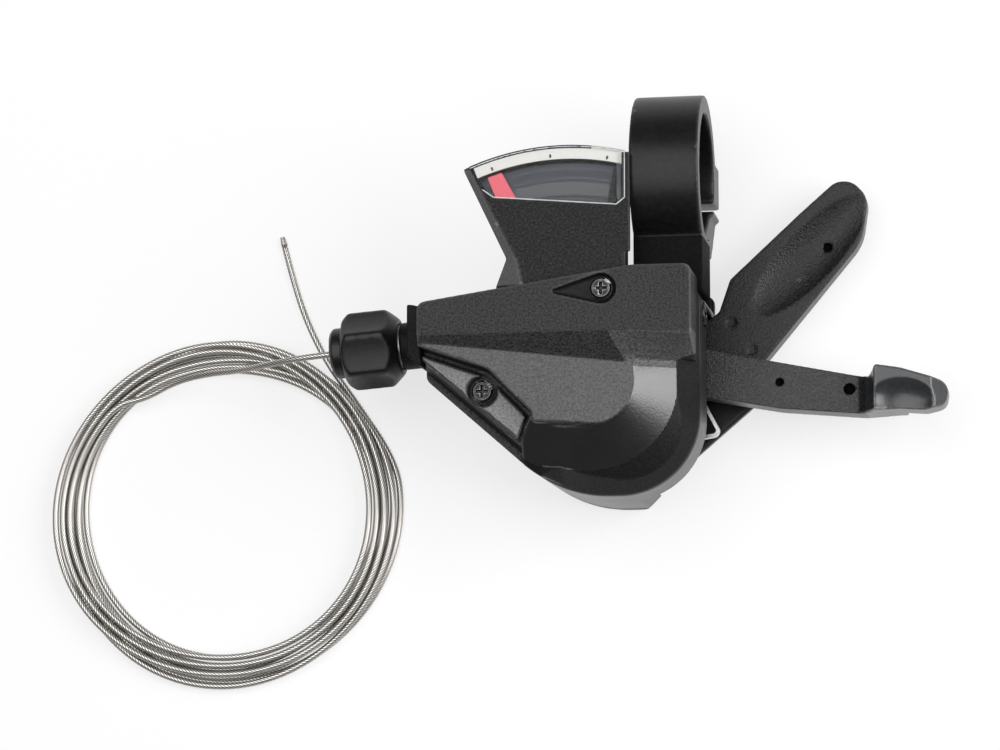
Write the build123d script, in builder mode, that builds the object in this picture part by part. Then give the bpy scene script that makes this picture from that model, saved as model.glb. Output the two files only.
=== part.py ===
from build123d import *
import os
from math import acos, asin, atan2, cos, degrees, pi, radians, sin, tan

os.makedirs("parts", exist_ok=True)

# Left-hand trigger gear shifter, in millimetres.
# The origin is on the axis of the handlebar, in the middle of the clamp.
# +X runs along the bar towards the grip, +Z out of the cover, and the body hangs in -Y.

# Fits: play beside a seated piece, play of a turning one, and a length that outruns every cut
play = 0.1
running_play = 0.05
beyond = 80.0

# Handlebar clamp
bar_d = 22.2
bore_play = 0.1
ring_wall = 3.1
ring_w = 12.0
slot_y = -3.4
slot_w = 1.6
ear_y = 5.0
neck_y = -21.5
neck_top = 8.4
foot_y = -11.6
taper_top = (5.4, -5.0)
taper_low = (3.3, -21.5)
taper_z = -4.0
rivet_r = 1.3
rivet_l = 3.5
rivet_at = [(-3.2, -16.5), (1.6, -16.5)]
bolt_r = 2.5
bolt_wall = 1.1
bolt_head_r = 4.0
bolt_head_h = 4.6
bolt_head_edge = 0.5
socket_r = 2.3
socket_depth = 2.8
nut_size = 8.0
nut_t = 3.4
nut_y = -9.0

# Heights of the body, from its underside to the top of the cover
base_z = -19.0
base_t = 2.0
seam_z = 6.0
skirt_h = 3.8
cover_top = 19.0
plateau_left = 18.2
plateau_right = 16.2
screw_plate_z = 14.0
wall = 1.8
cover_wall = 1.5

# Plan of the body: its straight edges and the radii of its round corners
left_x = -42.2
right_x = 5.2
top_left_y = -24.0
top_right_y = -18.4
top_bend_x = -5.0
low_left_y = -36.3
bottom_y = -56.7
bottom_bend_x = -18.9
corner_r = 14.0
bottom_bend_r = 22.0
small_corner_r = 1.5

# Wing of the base plate under the levers, and the opening in the wall that the levers pass
wing_root = (-6.8, -54.85)
wing_tip = (12.6, -38.3)
wing_back = (10.5, -35.5)
wing_inner_y = -30.0
opening_x = 2.4
opening_low = (-8.0, -58.0)
opening_corner_y = -47.5
opening_top_y = -22.6
opening_room = 0.8

# Block on the left end of the wall, which carries the adjuster
block_l = 2.6
block_rise = 0.5
block_foot = 1.5
block_slope = 2.3
block_top = 14.8

# Facets of the cover: the crease of its upper band, its round end and its screw plate
crease_y = -29.6
crease_left_y = -30.9
crease_right_y = -35.0
facet_end_x = -6.5
shoulder_y = -30.5
shoulder_low_y = -34.0
bowl_at = (-15.0, -37.75)
bowl_length = 4.0
bowl_top_r = 8.0
bowl_rim_r = 19.0
edge_z = 7.0
edge_h = 5.2
edge_in = 3.3
plateau_over = 1.5
plate_inner = [(left_x, -31.4), (-30.2, -35.5), (-22.7, -43.0)]
plate_inner_r = [0, 3.0, 1.5]
plate_tip = (-24.9, -47.4)
plate_low_y = -33.4
plate_foot = (-22.9, -52.5)
plate_gap = 1.1
groove_depth = 1.2
plateau_corner = (-22.3, -44.7)
plateau_corner_r = 0.6
plateau_end_r = 7.0
ceiling_z = 14.6

# Fastenings of the cover
screw_head_r = 1.95
screw_head_h = 1.3
screw_head_taper = 35.0
screw_r = 1.15
screw_l = 12.0
cross_l = 2.2
cross_w = 0.55
cross_depth = 0.8
upper_screw = (-10.2, -22.4)
lower_screw_along = 9.75
lower_screw_in = 4.95
column_r = 3.2
cover_column_r = 2.0
recess_r = 2.6
recess_depth = 1.1
teardrop_at = (-18.2, -22.7)
teardrop_r = 0.4

# Main axle, and the stack of pieces that turn on it
axle_x = -11.5
axle_y = -38.0
axle_r = 3.0
axle_thread_r = 2.5
axle_spare = 1.5
axle_edge = 0.4
washer_t = 0.5
washer_r = 4.9
lever_t = 2.0
lever_hub_r = 7.0
trigger_z = -11.3
trigger_t = 1.6
sleeve_r = 4.5
ratchet_z = -9.0
ratchet_t = 2.4
ratchet_r = 11.8
tooth_h = 1.7
tooth_count = 12
tooth_land = 0.35
tooth_face = 0.07
hub_r = 5.0
key_depth = 1.0
drum_top = 4.0
drum_top_r = 8.5
nut_h = 3.0
axle_nut_size = 8.0

# Cable, and its groove and nipple in the drum
cable_d = 1.2
cable_z = -1.0
cable_tilt = 4.6
wind_r = 12.3
groove_play = 0.15
flange_lip = 0.2
flange_t = 1.4
nipple_r = 2.0
nipple_h = 4.4
nipple_edge = 0.3
nipple_seat_r = 11.4
nipple_lag = 10.0

# Cable adjuster, and the plugged hole through which a new cable goes in
knob_r = 6.95
knob_l = 10.2
knob_edge = 1.1
knob_taper = 2.3
knob_waist_r = 4.9
knob_sides = 6
knob_side_angle = 45.0
knob_side_r = 22.0
knob_side_depth = 0.95
boss_r = 4.2
boss_l = 6.4
barrel_r = 3.0
barrel_reach = 1.0
collar_r = 4.5
collar_l = 2.4
collar_edge = 0.6
casing_r = 2.55
casing_depth = 8.0
cable_hole_r = 0.9
spring_room_r = 4.1
spring_room_l = 4.0
port_r = 2.2
plug_proud = 0.3
plug_slot_w = 0.7
plug_slot_depth = 1.0

# Gear display
needle_pin_r = 6.0
needle_start = 50.0
needle_half_turn = 28.0
needle_t = 0.8
needle_z = 12.9
needle_gap = 0.4
needle_w = 1.6
needle_tail_w = 3.2
needle_slot_l = 0.8
needle_slot_in = 0.2
pointer_angle = 107.1
flag_angles = (109.4, 105.8, 103.9, 109.2)
flag_lengths = (0.0, 0.0, 5.1, 4.0)
post_r = 1.5
post_head = 0.8
post_head_t = 0.4
pin_r = 0.8
pin_spare = 0.2
display_z = 11.6
display_top = 15.6
display_floor = 1.0
display_wall = 1.3
display_gap = 0.4
display_arc_r = 43.6
fan_left_angle = 113.8
fan_mid_angle = 95.0
fan_left = [(-29.0, -21.3), (-26.9, -16.6)]
fan_root = (-25.5, -27.5)
fan_right_y = -17.5
fan_right_step = 1.2
tongue = [(-4.0, -3.6), (3.6, -3.6)]
tongue_root = (5.0, -7.0)
window_t = 1.0
window_margin_angle = 1.4
window_low = [(-7.9, -7.4), (-29.4, -5.5), (-31.3, -4.1)]
window_right_y = -6.2
ledge_w = 2.2
strip_w = 1.85
strip_t = 0.3
strip_sweep = 34.6
strip_margin_angle = 1.2
cover_mouth_x = -29.6

# Thumb lever
paddle_z = -16.7
paddle_top = -11.9
paddle_arm_angle = 33.0
paddle_arm_l = 31.0
paddle_arm_w = 7.0
paddle_outline = [
    (3.0, -24.9),
    (6.6, -22.2),
    (8.6, -16.4),
    (21.2, -4.8),
    (29.2, 2.2),
    (33.4, -2.2),
    (32.2, -10.2),
    (15.2, -30.6),
    (10.4, -35.4),
    (3.4, -37.0),
    (1.8, -33.0),
]
paddle_radii = [1.0, 0.6, 1.0, 0, 3.6, 4.0, 9.0, 0, 2.0, 1.0, 1.0]
paddle_dish_at = (23.0, -12.4)
paddle_dish_angle = 46.0
paddle_dish_half_l = 14.5
paddle_dish_half_w = 4.8
paddle_dish_depth = 1.5
paddle_hole = (26.0, -10.9)
paddle_hole_r = 0.8
paddle_marks = [(8.8, -24.2), (12.4, -29.2)]
mark_r = 1.05
mark_depth = 0.2
hole_depth = 0.8
ear_w = 5.0

# Release trigger
trigger_hub_r = 7.1
trigger_arm = [(5.0, -31.5), (27.0, -36.4), (27.0, -39.0), (5.0, -36.8)]
trigger_root_angles = (95.0, -60.0)
finger_angle = 180.0
finger_reach = 11.5
finger_w = 2.6
trigger_grip_z = -11.5
trigger_grip_top = -5.0
tip_top = 0.4
grip_outline = [
    (3.0, -29.5),
    (16.0, -32.1),
    (33.6, -35.6),
    (34.9, -33.9),
    (39.2, -34.6),
    (47.6, -37.2),
    (46.9, -41.2),
    (43.5, -42.0),
    (39.0, -41.6),
    (32.8, -42.0),
    (18.0, -40.7),
    (3.0, -38.0),
]
grip_radii = [1, 0, 0.5, 0.6, 2, 2.2, 2.0, 2, 3, 3, 0, 1]
step_x = 31.6
step_l = 3.0
step_hollow = 0.5
pad_dish_at = (39.6, -40.6)
pad_dish_angle = -6.0
pad_dish_half_l = 6.0
pad_dish_half_w = 4.2
pad_dish_depth = 1.9
tip_slope_x = 44.4
tip_slope = 0.9
tip_undercut_x = 40.0
tip_undercut = 4.0
grip_holes = [(17.9, -36.0, 0.7), (30.1, -37.5, 0.97)]

# Pawls
pawl_clear = 0.2
pawl_pin_r = 1.5
pawl_pin_spare = 0.3
pawl_boss_r = 2.1
pawl_t = 2.2
nose_t = 1.6
nose_side_turn = 14.0
nose_side_t = 0.5
drive_pin_angle = 160.0
drive_pin_reach = 14.8
drive_nose_angle = 128.0
hold_pin_angle = -75.0
hold_pin_reach = 15.0
hold_nose_angle = -108.0
hold_tail_angle = -170.0
hold_tail_reach = 9.0
hold_tail_w = 2.6

# Springs and the post that two of them bear on
spring_t = 0.6
spring_post_angle = -46.5
spring_post_reach = 13.1
spring_post_r = 1.3
pawl_leg_l = 6.0
drive_leg_angle = 50.0
hold_leg_angle = -165.0
strip_bend = (6.9, -44.4)
strip_end = (4.0, -38.9)
strip_bend_r = 0.9

# The free cable lies in a coil on the ground
coil_at = (-84.9, -55.9)
coil_mean_r = 29.4
coil_w = 6.4
coil_h = 4.4
coil_edge_r = 1.8
lead_first = 6.0
tip_l = 1.6
tip_taper = 6.0

# Values that follow from the sizes above
bore_r = bar_d / 2 + bore_play
ring_r = bore_r + ring_wall
bolt_z = -(bore_r + bolt_wall + bolt_r)
base_top = base_z + base_t
lever_z = base_top + washer_t + play
lever_top = lever_z + lever_t
ratchet_top = ratchet_z + ratchet_t
pawl_z = ratchet_z
pawl_top = pawl_z + pawl_t
flange_r = wind_r + cable_d / 2 + flange_lip
groove_r = wind_r - cable_d / 2 - groove_play
groove_half = cable_d / 2 + groove_play
flange_top = cable_z + groove_half + flange_t
axle_top = drum_top + washer_t + nut_h + axle_spare
skirt_top = seam_z + skirt_h
groove_z = screw_plate_z - groove_depth
display_right_x = -ring_w / 2 - display_gap
glass_z = display_top - window_t - play
room_r = display_arc_r - ledge_w
needle_reach = room_r - needle_gap
lower_column_r = lower_screw_in - wall / 2


def level(z, at=(0, 0)):
    """A plane parallel to the base, at height z, with its origin over a point."""
    return Plane(origin=(at[0], at[1], z))


def polar(centre, reach, angle):
    """The point at a reach and an angle in degrees from a centre."""
    return (centre[0] + reach * cos(radians(angle)), centre[1] + reach * sin(radians(angle)))


def outline(points, mode=Mode.ADD):
    """A straight-sided face inside the current sketch."""
    with BuildLine() as edge:
        Polyline(*points, close=True)
    make_face(edge.edges(), mode=mode)


def body_outline(inset=0.0):
    """The plan of the body inside the current sketch, drawn in by an inset."""
    with BuildLine() as edge:
        FilletPolyline(
            (left_x, top_left_y),
            (top_bend_x, top_right_y),
            (right_x, top_right_y),
            (right_x, bottom_y),
            (bottom_bend_x, bottom_y),
            (left_x, low_left_y),
            radius=[small_corner_r, corner_r, small_corner_r, corner_r, bottom_bend_r, small_corner_r],
            close=True,
        )
    make_face(edge.edges())
    if inset:
        offset(amount=-inset, kind=Kind.INTERSECTION, mode=Mode.REPLACE)


# The lower screw stands beside the slanting wall, measured from the wall's upper end
low_wall_angle = degrees(atan2(bottom_y - low_left_y, bottom_bend_x - left_x))
lower_screw = polar((left_x, low_left_y), lower_screw_along, low_wall_angle)
lower_screw = polar(lower_screw, lower_screw_in, low_wall_angle + 90)

# The cable's straight line, from where it meets the drum out through the adjuster
axle_at = (axle_x, axle_y)
cable_dir = (cos(radians(cable_tilt)), sin(radians(cable_tilt)))
tangent = polar(axle_at, wind_r, 90 + cable_tilt)


def on_cable(distance):
    """A plane across the cable's line, at a distance left of where it meets the drum."""
    return Plane(
        origin=(tangent[0] - distance * cable_dir[0], tangent[1] - distance * cable_dir[1], cable_z),
        x_dir=(-cable_dir[1], cable_dir[0], 0),
        z_dir=(cable_dir[0], cable_dir[1], 0),
    )


boss_end = (tangent[0] - left_x) / cable_dir[0] + boss_l
knob_end = boss_end + play
knob_far = knob_end + knob_l
collar_far = knob_far + collar_l
port_plane = on_cable(-(right_x - tangent[0]) / cable_dir[0])

# Where the pins of the pawls and the needle stand.
# The needle's pivot is as far from the axle as its pin, so it turns half as far as the drum.
drive_pin_at = polar(axle_at, drive_pin_reach, drive_pin_angle)
hold_pin_at = polar(axle_at, hold_pin_reach, hold_pin_angle)
needle_pin_at = polar(axle_at, needle_pin_r, needle_start)
needle_mid = needle_start - needle_half_turn
needle_at = polar(axle_at, -needle_pin_r, needle_mid)
spring_post_at = polar(axle_at, spring_post_reach, spring_post_angle)

# Clamp bracket: the ring, its split lug and the neck are one casting, riveted to the base plate
with BuildPart() as clamp_bracket:
    with BuildSketch(Plane.YZ):
        Circle(ring_r)
        outline(
            [
                (ear_y, base_z),
                (foot_y, base_z),
                (foot_y, base_top),
                (neck_y, base_top),
                (neck_y, neck_top),
                (-ring_r * cos(asin(neck_top / ring_r)), neck_top),
                (0, 0),
                (ear_y, bolt_z + bolt_head_r),
            ]
        )
    extrude(amount=ring_w / 2, both=True)
    # The neck narrows on its right side towards the body
    with BuildSketch(level(base_z)):
        outline([taper_top, taper_low, (taper_low[0], -beyond), (beyond, -beyond), (beyond, taper_top[1])])
    extrude(amount=taper_z - base_z, mode=Mode.SUBTRACT)
    # The bar's bore and the split below it
    with BuildSketch(Plane.YZ):
        Circle(bore_r)
        with Locations((slot_y, -beyond / 2)):
            Rectangle(slot_w, beyond)
    extrude(amount=ring_w, both=True, mode=Mode.SUBTRACT)
    # The bolt's hole, the seat of its head and the nut's pocket
    with BuildSketch(Plane.XZ.offset(-ear_y)):
        with Locations((0, bolt_z)):
            Circle(bolt_r + play)
    extrude(amount=ear_y - nut_y + nut_t, mode=Mode.SUBTRACT)
    with BuildSketch(Plane.XZ.offset(-ear_y)):
        with Locations((0, bolt_z)):
            Circle(bolt_head_r + play)
    extrude(amount=-ring_r, mode=Mode.SUBTRACT)
    with BuildSketch(Plane.XZ.offset(-nut_y - nut_t / 2)):
        with Locations((0, (bolt_z + nut_size / 2 + base_z) / 2)):
            Rectangle(nut_size, bolt_z + nut_size / 2 - base_z)
    extrude(amount=nut_t, mode=Mode.SUBTRACT)
    for spot in rivet_at:
        with BuildSketch(level(base_top, spot)):
            Circle(rivet_r + running_play)
        extrude(amount=rivet_l, mode=Mode.SUBTRACT)
clamp_bracket.part.label = "clamp_bracket"
export_step(clamp_bracket.part, "parts/clamp_bracket.step")

# Base plate: the floor of the body, with a wing under the levers and a tongue under the neck
with BuildPart() as base_plate:
    with BuildSketch(level(base_z)):
        body_outline()
        outline(
            [wing_root, wing_tip, (beyond, wing_tip[1]), (beyond, -beyond), (wing_root[0], -beyond)],
            mode=Mode.SUBTRACT,
        )
        outline([wing_root, wing_tip, wing_back, (right_x - wall, wing_inner_y), (axle_x, wing_inner_y)])
        tongue_end = foot_y - play
        outline([(-ring_w / 2, tongue_end), (taper_low[0], tongue_end), taper_low, (-ring_w / 2, neck_y)])
    extrude(amount=base_t)
    with BuildSketch(level(base_top, spring_post_at)):
        Circle(spring_post_r)
    extrude(amount=trigger_z + trigger_t - base_top)
    holes = [(axle_at, axle_r), (hold_pin_at, pawl_pin_r), *[(spot, rivet_r) for spot in rivet_at]]
    for spot, hole_r in holes:
        with BuildSketch(level(base_z, spot)):
            Circle(hole_r + running_play)
        extrude(amount=base_t, mode=Mode.SUBTRACT)
base_plate.part.label = "base_plate"
export_step(base_plate.part, "parts/base_plate.step")

# Rivets that hold the neck to the plate, flush with its underside
with BuildPart() as bracket_rivets:
    for spot in rivet_at:
        with BuildSketch(level(base_z, spot)):
            Circle(rivet_r)
        extrude(amount=base_t + rivet_l)
bracket_rivets.part.label = "bracket_rivets"
export_step(bracket_rivets.part, "parts/bracket_rivets.step")

# Cap screw that closes the ring, with a hexagon socket in its head
with BuildPart() as clamp_bolt:
    with BuildSketch(Plane.XZ.offset(-ear_y)):
        with Locations((0, bolt_z)):
            Circle(bolt_head_r)
    extrude(amount=-bolt_head_h)
    chamfer(clamp_bolt.edges().group_by(Axis.Y)[-1], length=bolt_head_edge)
    with BuildSketch(Plane.XZ.offset(-ear_y - bolt_head_h)):
        with Locations((0, bolt_z)):
            RegularPolygon(socket_r, 6)
    extrude(amount=socket_depth, mode=Mode.SUBTRACT)
    with BuildSketch(Plane.XZ.offset(-ear_y)):
        with Locations((0, bolt_z)):
            Circle(bolt_r)
    extrude(amount=ear_y - nut_y + nut_t / 2)
clamp_bolt.part.label = "clamp_bolt"
export_step(clamp_bolt.part, "parts/clamp_bolt.step")

# Square nut in the pocket of the lug
with BuildPart() as clamp_nut:
    with BuildSketch(Plane.XZ.offset(-nut_y - nut_t / 2 + play)):
        with Locations((0, bolt_z)):
            Rectangle(nut_size - 2 * play, nut_size - 2 * play)
            Circle(bolt_r, mode=Mode.SUBTRACT)
    extrude(amount=nut_t - 2 * play)
clamp_nut.part.label = "clamp_nut"
export_step(clamp_nut.part, "parts/clamp_nut.step")

# Lower housing: the moulded side wall between base plate and cover, with the adjuster's boss
with BuildPart() as lower_housing:
    with BuildSketch(level(base_top)):
        body_outline()
    extrude(amount=seam_z - base_top)
    with BuildSketch(level(base_top)):
        body_outline(wall)
    extrude(amount=seam_z - base_top, mode=Mode.SUBTRACT)
    with BuildSketch(level(cable_z - knob_r)):
        outline(
            [
                (left_x - block_l, top_left_y + block_rise),
                (left_x, top_left_y),
                (left_x, low_left_y + block_foot),
                (left_x - block_l, low_left_y + block_foot + block_slope),
            ]
        )
    extrude(amount=block_top - cable_z + knob_r)
    with BuildSketch(on_cable(boss_end)):
        Circle(boss_r)
    extrude(amount=boss_l + wall)
    with BuildSketch(level(drum_top, upper_screw)):
        Circle(column_r)
    extrude(amount=display_z - drum_top)
    with BuildSketch(level(base_top, lower_screw)):
        Circle(lower_column_r)
    extrude(amount=seam_z - base_top)
    # Room for the neck of the bracket and for the levers
    with BuildSketch(Plane.YZ):
        with Locations((neck_y - play + beyond / 2, 0)):
            Rectangle(beyond, beyond)
    extrude(amount=ring_w / 2 + play, both=True, mode=Mode.SUBTRACT)
    with BuildSketch(level(base_top)):
        outline(
            [
                opening_low,
                (opening_x, opening_corner_y),
                (opening_x, opening_top_y),
                (beyond, opening_top_y),
                (beyond, opening_low[1]),
            ]
        )
    extrude(amount=trigger_grip_top + opening_room - base_top, mode=Mode.SUBTRACT)
    # Holes for the barrel, the plug and the screws
    with BuildSketch(on_cable(boss_end)):
        Circle(barrel_r + play)
    extrude(amount=boss_l + 3 * wall, mode=Mode.SUBTRACT)
    with BuildSketch(port_plane):
        Circle(port_r)
    extrude(amount=2 * wall, both=True, mode=Mode.SUBTRACT)
    for spot, top in ((upper_screw, display_z), (lower_screw, seam_z)):
        with BuildSketch(level(top, spot)):
            Circle(screw_r)
        extrude(amount=-screw_l, mode=Mode.SUBTRACT)
lower_housing.part.label = "lower_housing"
export_step(lower_housing.part, "parts/lower_housing.step")


def bowl(z_low, r_low, z_high, r_high):
    """The flared skirt that runs round the end of the plateau."""
    with BuildSketch(level(z_low, bowl_at)) as low:
        SlotCenterToCenter(bowl_length, 2 * r_low)
    with BuildSketch(level(z_high, bowl_at)) as high:
        SlotCenterToCenter(bowl_length, 2 * r_high)
    loft((low.sketch, high.sketch), ruled=True)


def right_of_plate(shift=0.0):
    """The part of the plan to the right of the screw plate."""
    outline(
        [
            (plate_inner[2][0] + shift, crease_y),
            (plate_inner[2][0] + shift, plate_inner[2][1]),
            (plate_tip[0] + shift, plate_tip[1]),
            (plate_tip[0] + shift, -beyond),
            (beyond, -beyond),
            (beyond, crease_y),
        ]
    )


def ridge_section(x, top_y, edge_y, foot_y, foot_z):
    """One cross-section of the upper band of the cover."""
    with BuildSketch(Plane.YZ.offset(x)) as section:
        outline(
            [
                (top_y, seam_z),
                (top_y, cover_top),
                (edge_y, cover_top),
                (foot_y, foot_z),
                (foot_y, seam_z),
            ]
        )
    return section.sketch


# The flared skirt, kept to the right of the screw plate
with BuildPart() as cover_skirt:
    bowl(skirt_top, bowl_rim_r, plateau_right, bowl_top_r)
    with BuildSketch(level(skirt_top)):
        right_of_plate()
    extrude(amount=cover_top, mode=Mode.INTERSECT)

# What is cut away below the flared skirt, so that a steep edge runs round the end of the cover
with BuildPart() as cover_edge:
    with BuildSketch(level(edge_z)):
        outline(
            [
                (plate_tip[0] + plate_gap, shoulder_low_y),
                (plate_tip[0] + plate_gap, plate_tip[1]),
                (plate_foot[0] + plate_gap, plate_foot[1]),
                (plate_foot[0] + plate_gap, -beyond),
                (beyond, -beyond),
                (beyond, shoulder_low_y),
            ]
        )
    extrude(amount=edge_h)
    with BuildSketch(level(edge_z)) as edge_low:
        body_outline()
    with BuildSketch(level(edge_z + edge_h)) as edge_high:
        body_outline(edge_in)
    loft((edge_low.sketch, edge_high.sketch), ruled=True, mode=Mode.SUBTRACT)

# The room inside the cover
with BuildPart() as cover_room:
    bowl(skirt_top - cover_wall / 2, bowl_rim_r - 2 * cover_wall, ceiling_z - play, bowl_top_r)
    with BuildSketch(level(seam_z, bowl_at)):
        SlotCenterToCenter(bowl_length, 2 * (bowl_rim_r - 2 * cover_wall))
    extrude(amount=skirt_h)
    with BuildSketch(level(seam_z)):
        right_of_plate(cover_wall)
    extrude(amount=cover_top, mode=Mode.INTERSECT)
    with BuildSketch(level(seam_z)):
        outline(
            [
                (left_x + wall, top_left_y - play),
                (top_bend_x, top_right_y),
                (right_x - wall, top_right_y),
                (right_x - wall, shoulder_y),
                (right_x - 2 * wall, shoulder_y - wall),
                (facet_end_x, crease_right_y + cover_wall),
                (facet_end_x, plate_inner[2][1]),
                (plate_inner[2][0] + cover_wall, plate_inner[2][1]),
                (plate_inner[1][0] + cover_wall, plate_inner[1][1] + cover_wall),
                (left_x + wall, plate_inner[0][1] + cover_wall),
            ]
        )
    extrude(amount=ceiling_z - seam_z)
    with BuildSketch(level(seam_z)):
        body_outline(wall)
    extrude(amount=ceiling_z - seam_z, mode=Mode.INTERSECT)
    with BuildSketch(level(seam_z)):
        body_outline(wall)
    extrude(amount=skirt_h - cover_wall)

# Top cover
with BuildPart() as top_cover:
    # The plateau falls a little towards its round end
    with BuildSketch(Plane.XZ.offset(-crease_y)):
        outline(
            [
                (left_x, seam_z),
                (facet_end_x + plateau_over, seam_z),
                (facet_end_x + plateau_over, plateau_right),
                (left_x, plateau_left),
            ]
        )
    extrude(amount=beyond)
    with BuildSketch(level(seam_z)):
        with BuildLine():
            FilletPolyline(
                (left_x, crease_y),
                (facet_end_x + plateau_over, crease_y),
                (facet_end_x + plateau_over, bowl_at[1] - bowl_top_r),
                plateau_corner,
                plate_inner[2],
                plate_inner[1],
                plate_inner[0],
                radius=[0, 0, plateau_end_r, plateau_corner_r, *reversed(plate_inner_r)],
                close=True,
            )
        make_face()
    extrude(amount=cover_top, mode=Mode.INTERSECT)
    # The upper band, with the facet that widens towards the right
    ridge_left = ridge_section(left_x, top_left_y + 1, crease_y, crease_left_y, plateau_left)
    ridge_bend = ridge_section(facet_end_x, top_right_y + 1, crease_y, crease_right_y, plateau_right)
    ridge_right = ridge_section(right_x, top_right_y + 1, shoulder_y, shoulder_low_y, skirt_top)
    loft((ridge_left, ridge_bend), ruled=True)
    loft((ridge_bend, ridge_right), ruled=True)
    # The plate that carries the lower screw, with a groove between it and the plateau
    with BuildSketch(level(seam_z)):
        outline([*plate_inner, plate_tip, plate_foot, (left_x, low_left_y)])
    with BuildSketch(level(groove_z)):
        outline([*plate_inner, plate_tip, (plate_tip[0] - plate_gap / 2, plate_tip[1] - plate_gap / 2),
                 (left_x, plate_low_y)])
    loft(ruled=True)
    with BuildSketch(level(groove_z)):
        outline(
            [
                (left_x, plate_inner[0][1] - plate_gap),
                (plate_inner[1][0] - plate_gap / 2, plate_inner[1][1] - plate_gap),
                (plate_inner[2][0] - plate_gap, plate_inner[2][1] - plate_gap / 2),
                (plate_tip[0] - plate_gap / 2, plate_tip[1]),
                (left_x, plate_low_y),
            ]
        )
    extrude(amount=screw_plate_z - groove_z)
    with BuildSketch(level(seam_z)):
        body_outline()
    extrude(amount=skirt_h)
    add(cover_skirt.part)
    with BuildSketch(level(seam_z)):
        body_outline()
    extrude(amount=cover_top, mode=Mode.INTERSECT)
    add(cover_edge.part, mode=Mode.SUBTRACT)
    add(cover_room.part, mode=Mode.SUBTRACT)
    # Openings for the display and the neck of the bracket
    with BuildSketch(level(seam_z)):
        outline(
            [
                (cover_mouth_x, wing_inner_y),
                (display_right_x + play, wing_inner_y),
                (display_right_x + play, beyond),
                (cover_mouth_x, beyond),
            ]
        )
    extrude(amount=display_top + 2 * play - seam_z, mode=Mode.SUBTRACT)
    with BuildSketch(Plane.YZ):
        with Locations((neck_y - play + beyond / 2, seam_z)):
            Rectangle(beyond, 2 * (neck_top + play - seam_z))
    extrude(amount=ring_w / 2 + play, both=True, mode=Mode.SUBTRACT)
    # Columns for the two screws and the recesses round their heads
    with BuildSketch(level(display_z + display_floor, upper_screw)):
        Circle(cover_column_r)
    extrude(amount=cover_top - recess_depth - display_z - display_floor)
    with BuildSketch(level(seam_z, lower_screw)):
        Circle(cover_column_r)
    extrude(amount=groove_z - seam_z)
    with BuildSketch(level(cover_top - recess_depth)):
        with Locations(upper_screw):
            Circle(recess_r)
        with Locations(teardrop_at):
            Circle(teardrop_r)
        make_hull()
    extrude(amount=recess_depth, mode=Mode.SUBTRACT)
    with BuildSketch(level(screw_plate_z - recess_depth, lower_screw)):
        Circle(recess_r)
    extrude(amount=recess_depth, mode=Mode.SUBTRACT)
    for spot in (upper_screw, lower_screw):
        with BuildSketch(level(seam_z, spot)):
            Circle(screw_r + play)
        extrude(amount=cover_top, mode=Mode.SUBTRACT)
top_cover.part.label = "top_cover"
export_step(top_cover.part, "parts/top_cover.step")

# Cross-recess screws of the cover
with BuildPart() as cover_screws:
    for spot, top in ((upper_screw, cover_top), (lower_screw, screw_plate_z)):
        seat = top - recess_depth
        with BuildSketch(level(seat, spot)):
            Circle(screw_head_r)
        extrude(amount=screw_head_h / 2)
        with BuildSketch(level(seat + screw_head_h / 2, spot)):
            Circle(screw_head_r)
        extrude(amount=screw_head_h / 2, taper=screw_head_taper)
        with BuildSketch(level(seat + screw_head_h, spot)):
            Rectangle(cross_l, cross_w)
            Rectangle(cross_w, cross_l)
        extrude(amount=-cross_depth, mode=Mode.SUBTRACT)
        with BuildSketch(level(seat, spot)):
            Circle(screw_r)
        extrude(amount=-screw_l)
cover_screws.part.label = "cover_screws"
export_step(cover_screws.part, "parts/cover_screws.step")

# Gear display: its right edge runs beside the clamp
fan_right_angle = degrees(acos((display_right_x - needle_at[0]) / display_arc_r))
wall_angle = degrees(display_wall / room_r)


def on_arc(radius, angle):
    """A point on an arc round the needle's pivot."""
    return polar(needle_at, radius, angle)


def window_outline():
    """The plan of the clear window, down to the slanted edge of the fan."""
    left = on_arc(display_arc_r, fan_left_angle - window_margin_angle)
    right = on_arc(display_arc_r, fan_right_angle)
    with BuildLine() as edge:
        ThreePointArc(left, on_arc(display_arc_r, fan_mid_angle), right)
        Polyline(right, (display_right_x, window_right_y), *window_low, left)
    make_face(edge.edges())


def arc_band(outer_r, inner_r, start, sweep):
    """A band between two arcs round the needle's pivot."""
    with BuildLine() as edge:
        CenterArc((*needle_at, 0), outer_r, start, sweep)
        Line(on_arc(outer_r, start + sweep), on_arc(inner_r, start + sweep))
        CenterArc((*needle_at, 0), inner_r, start + sweep, -sweep)
        Line(on_arc(inner_r, start), on_arc(outer_r, start))
    make_face(edge.edges())


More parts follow.
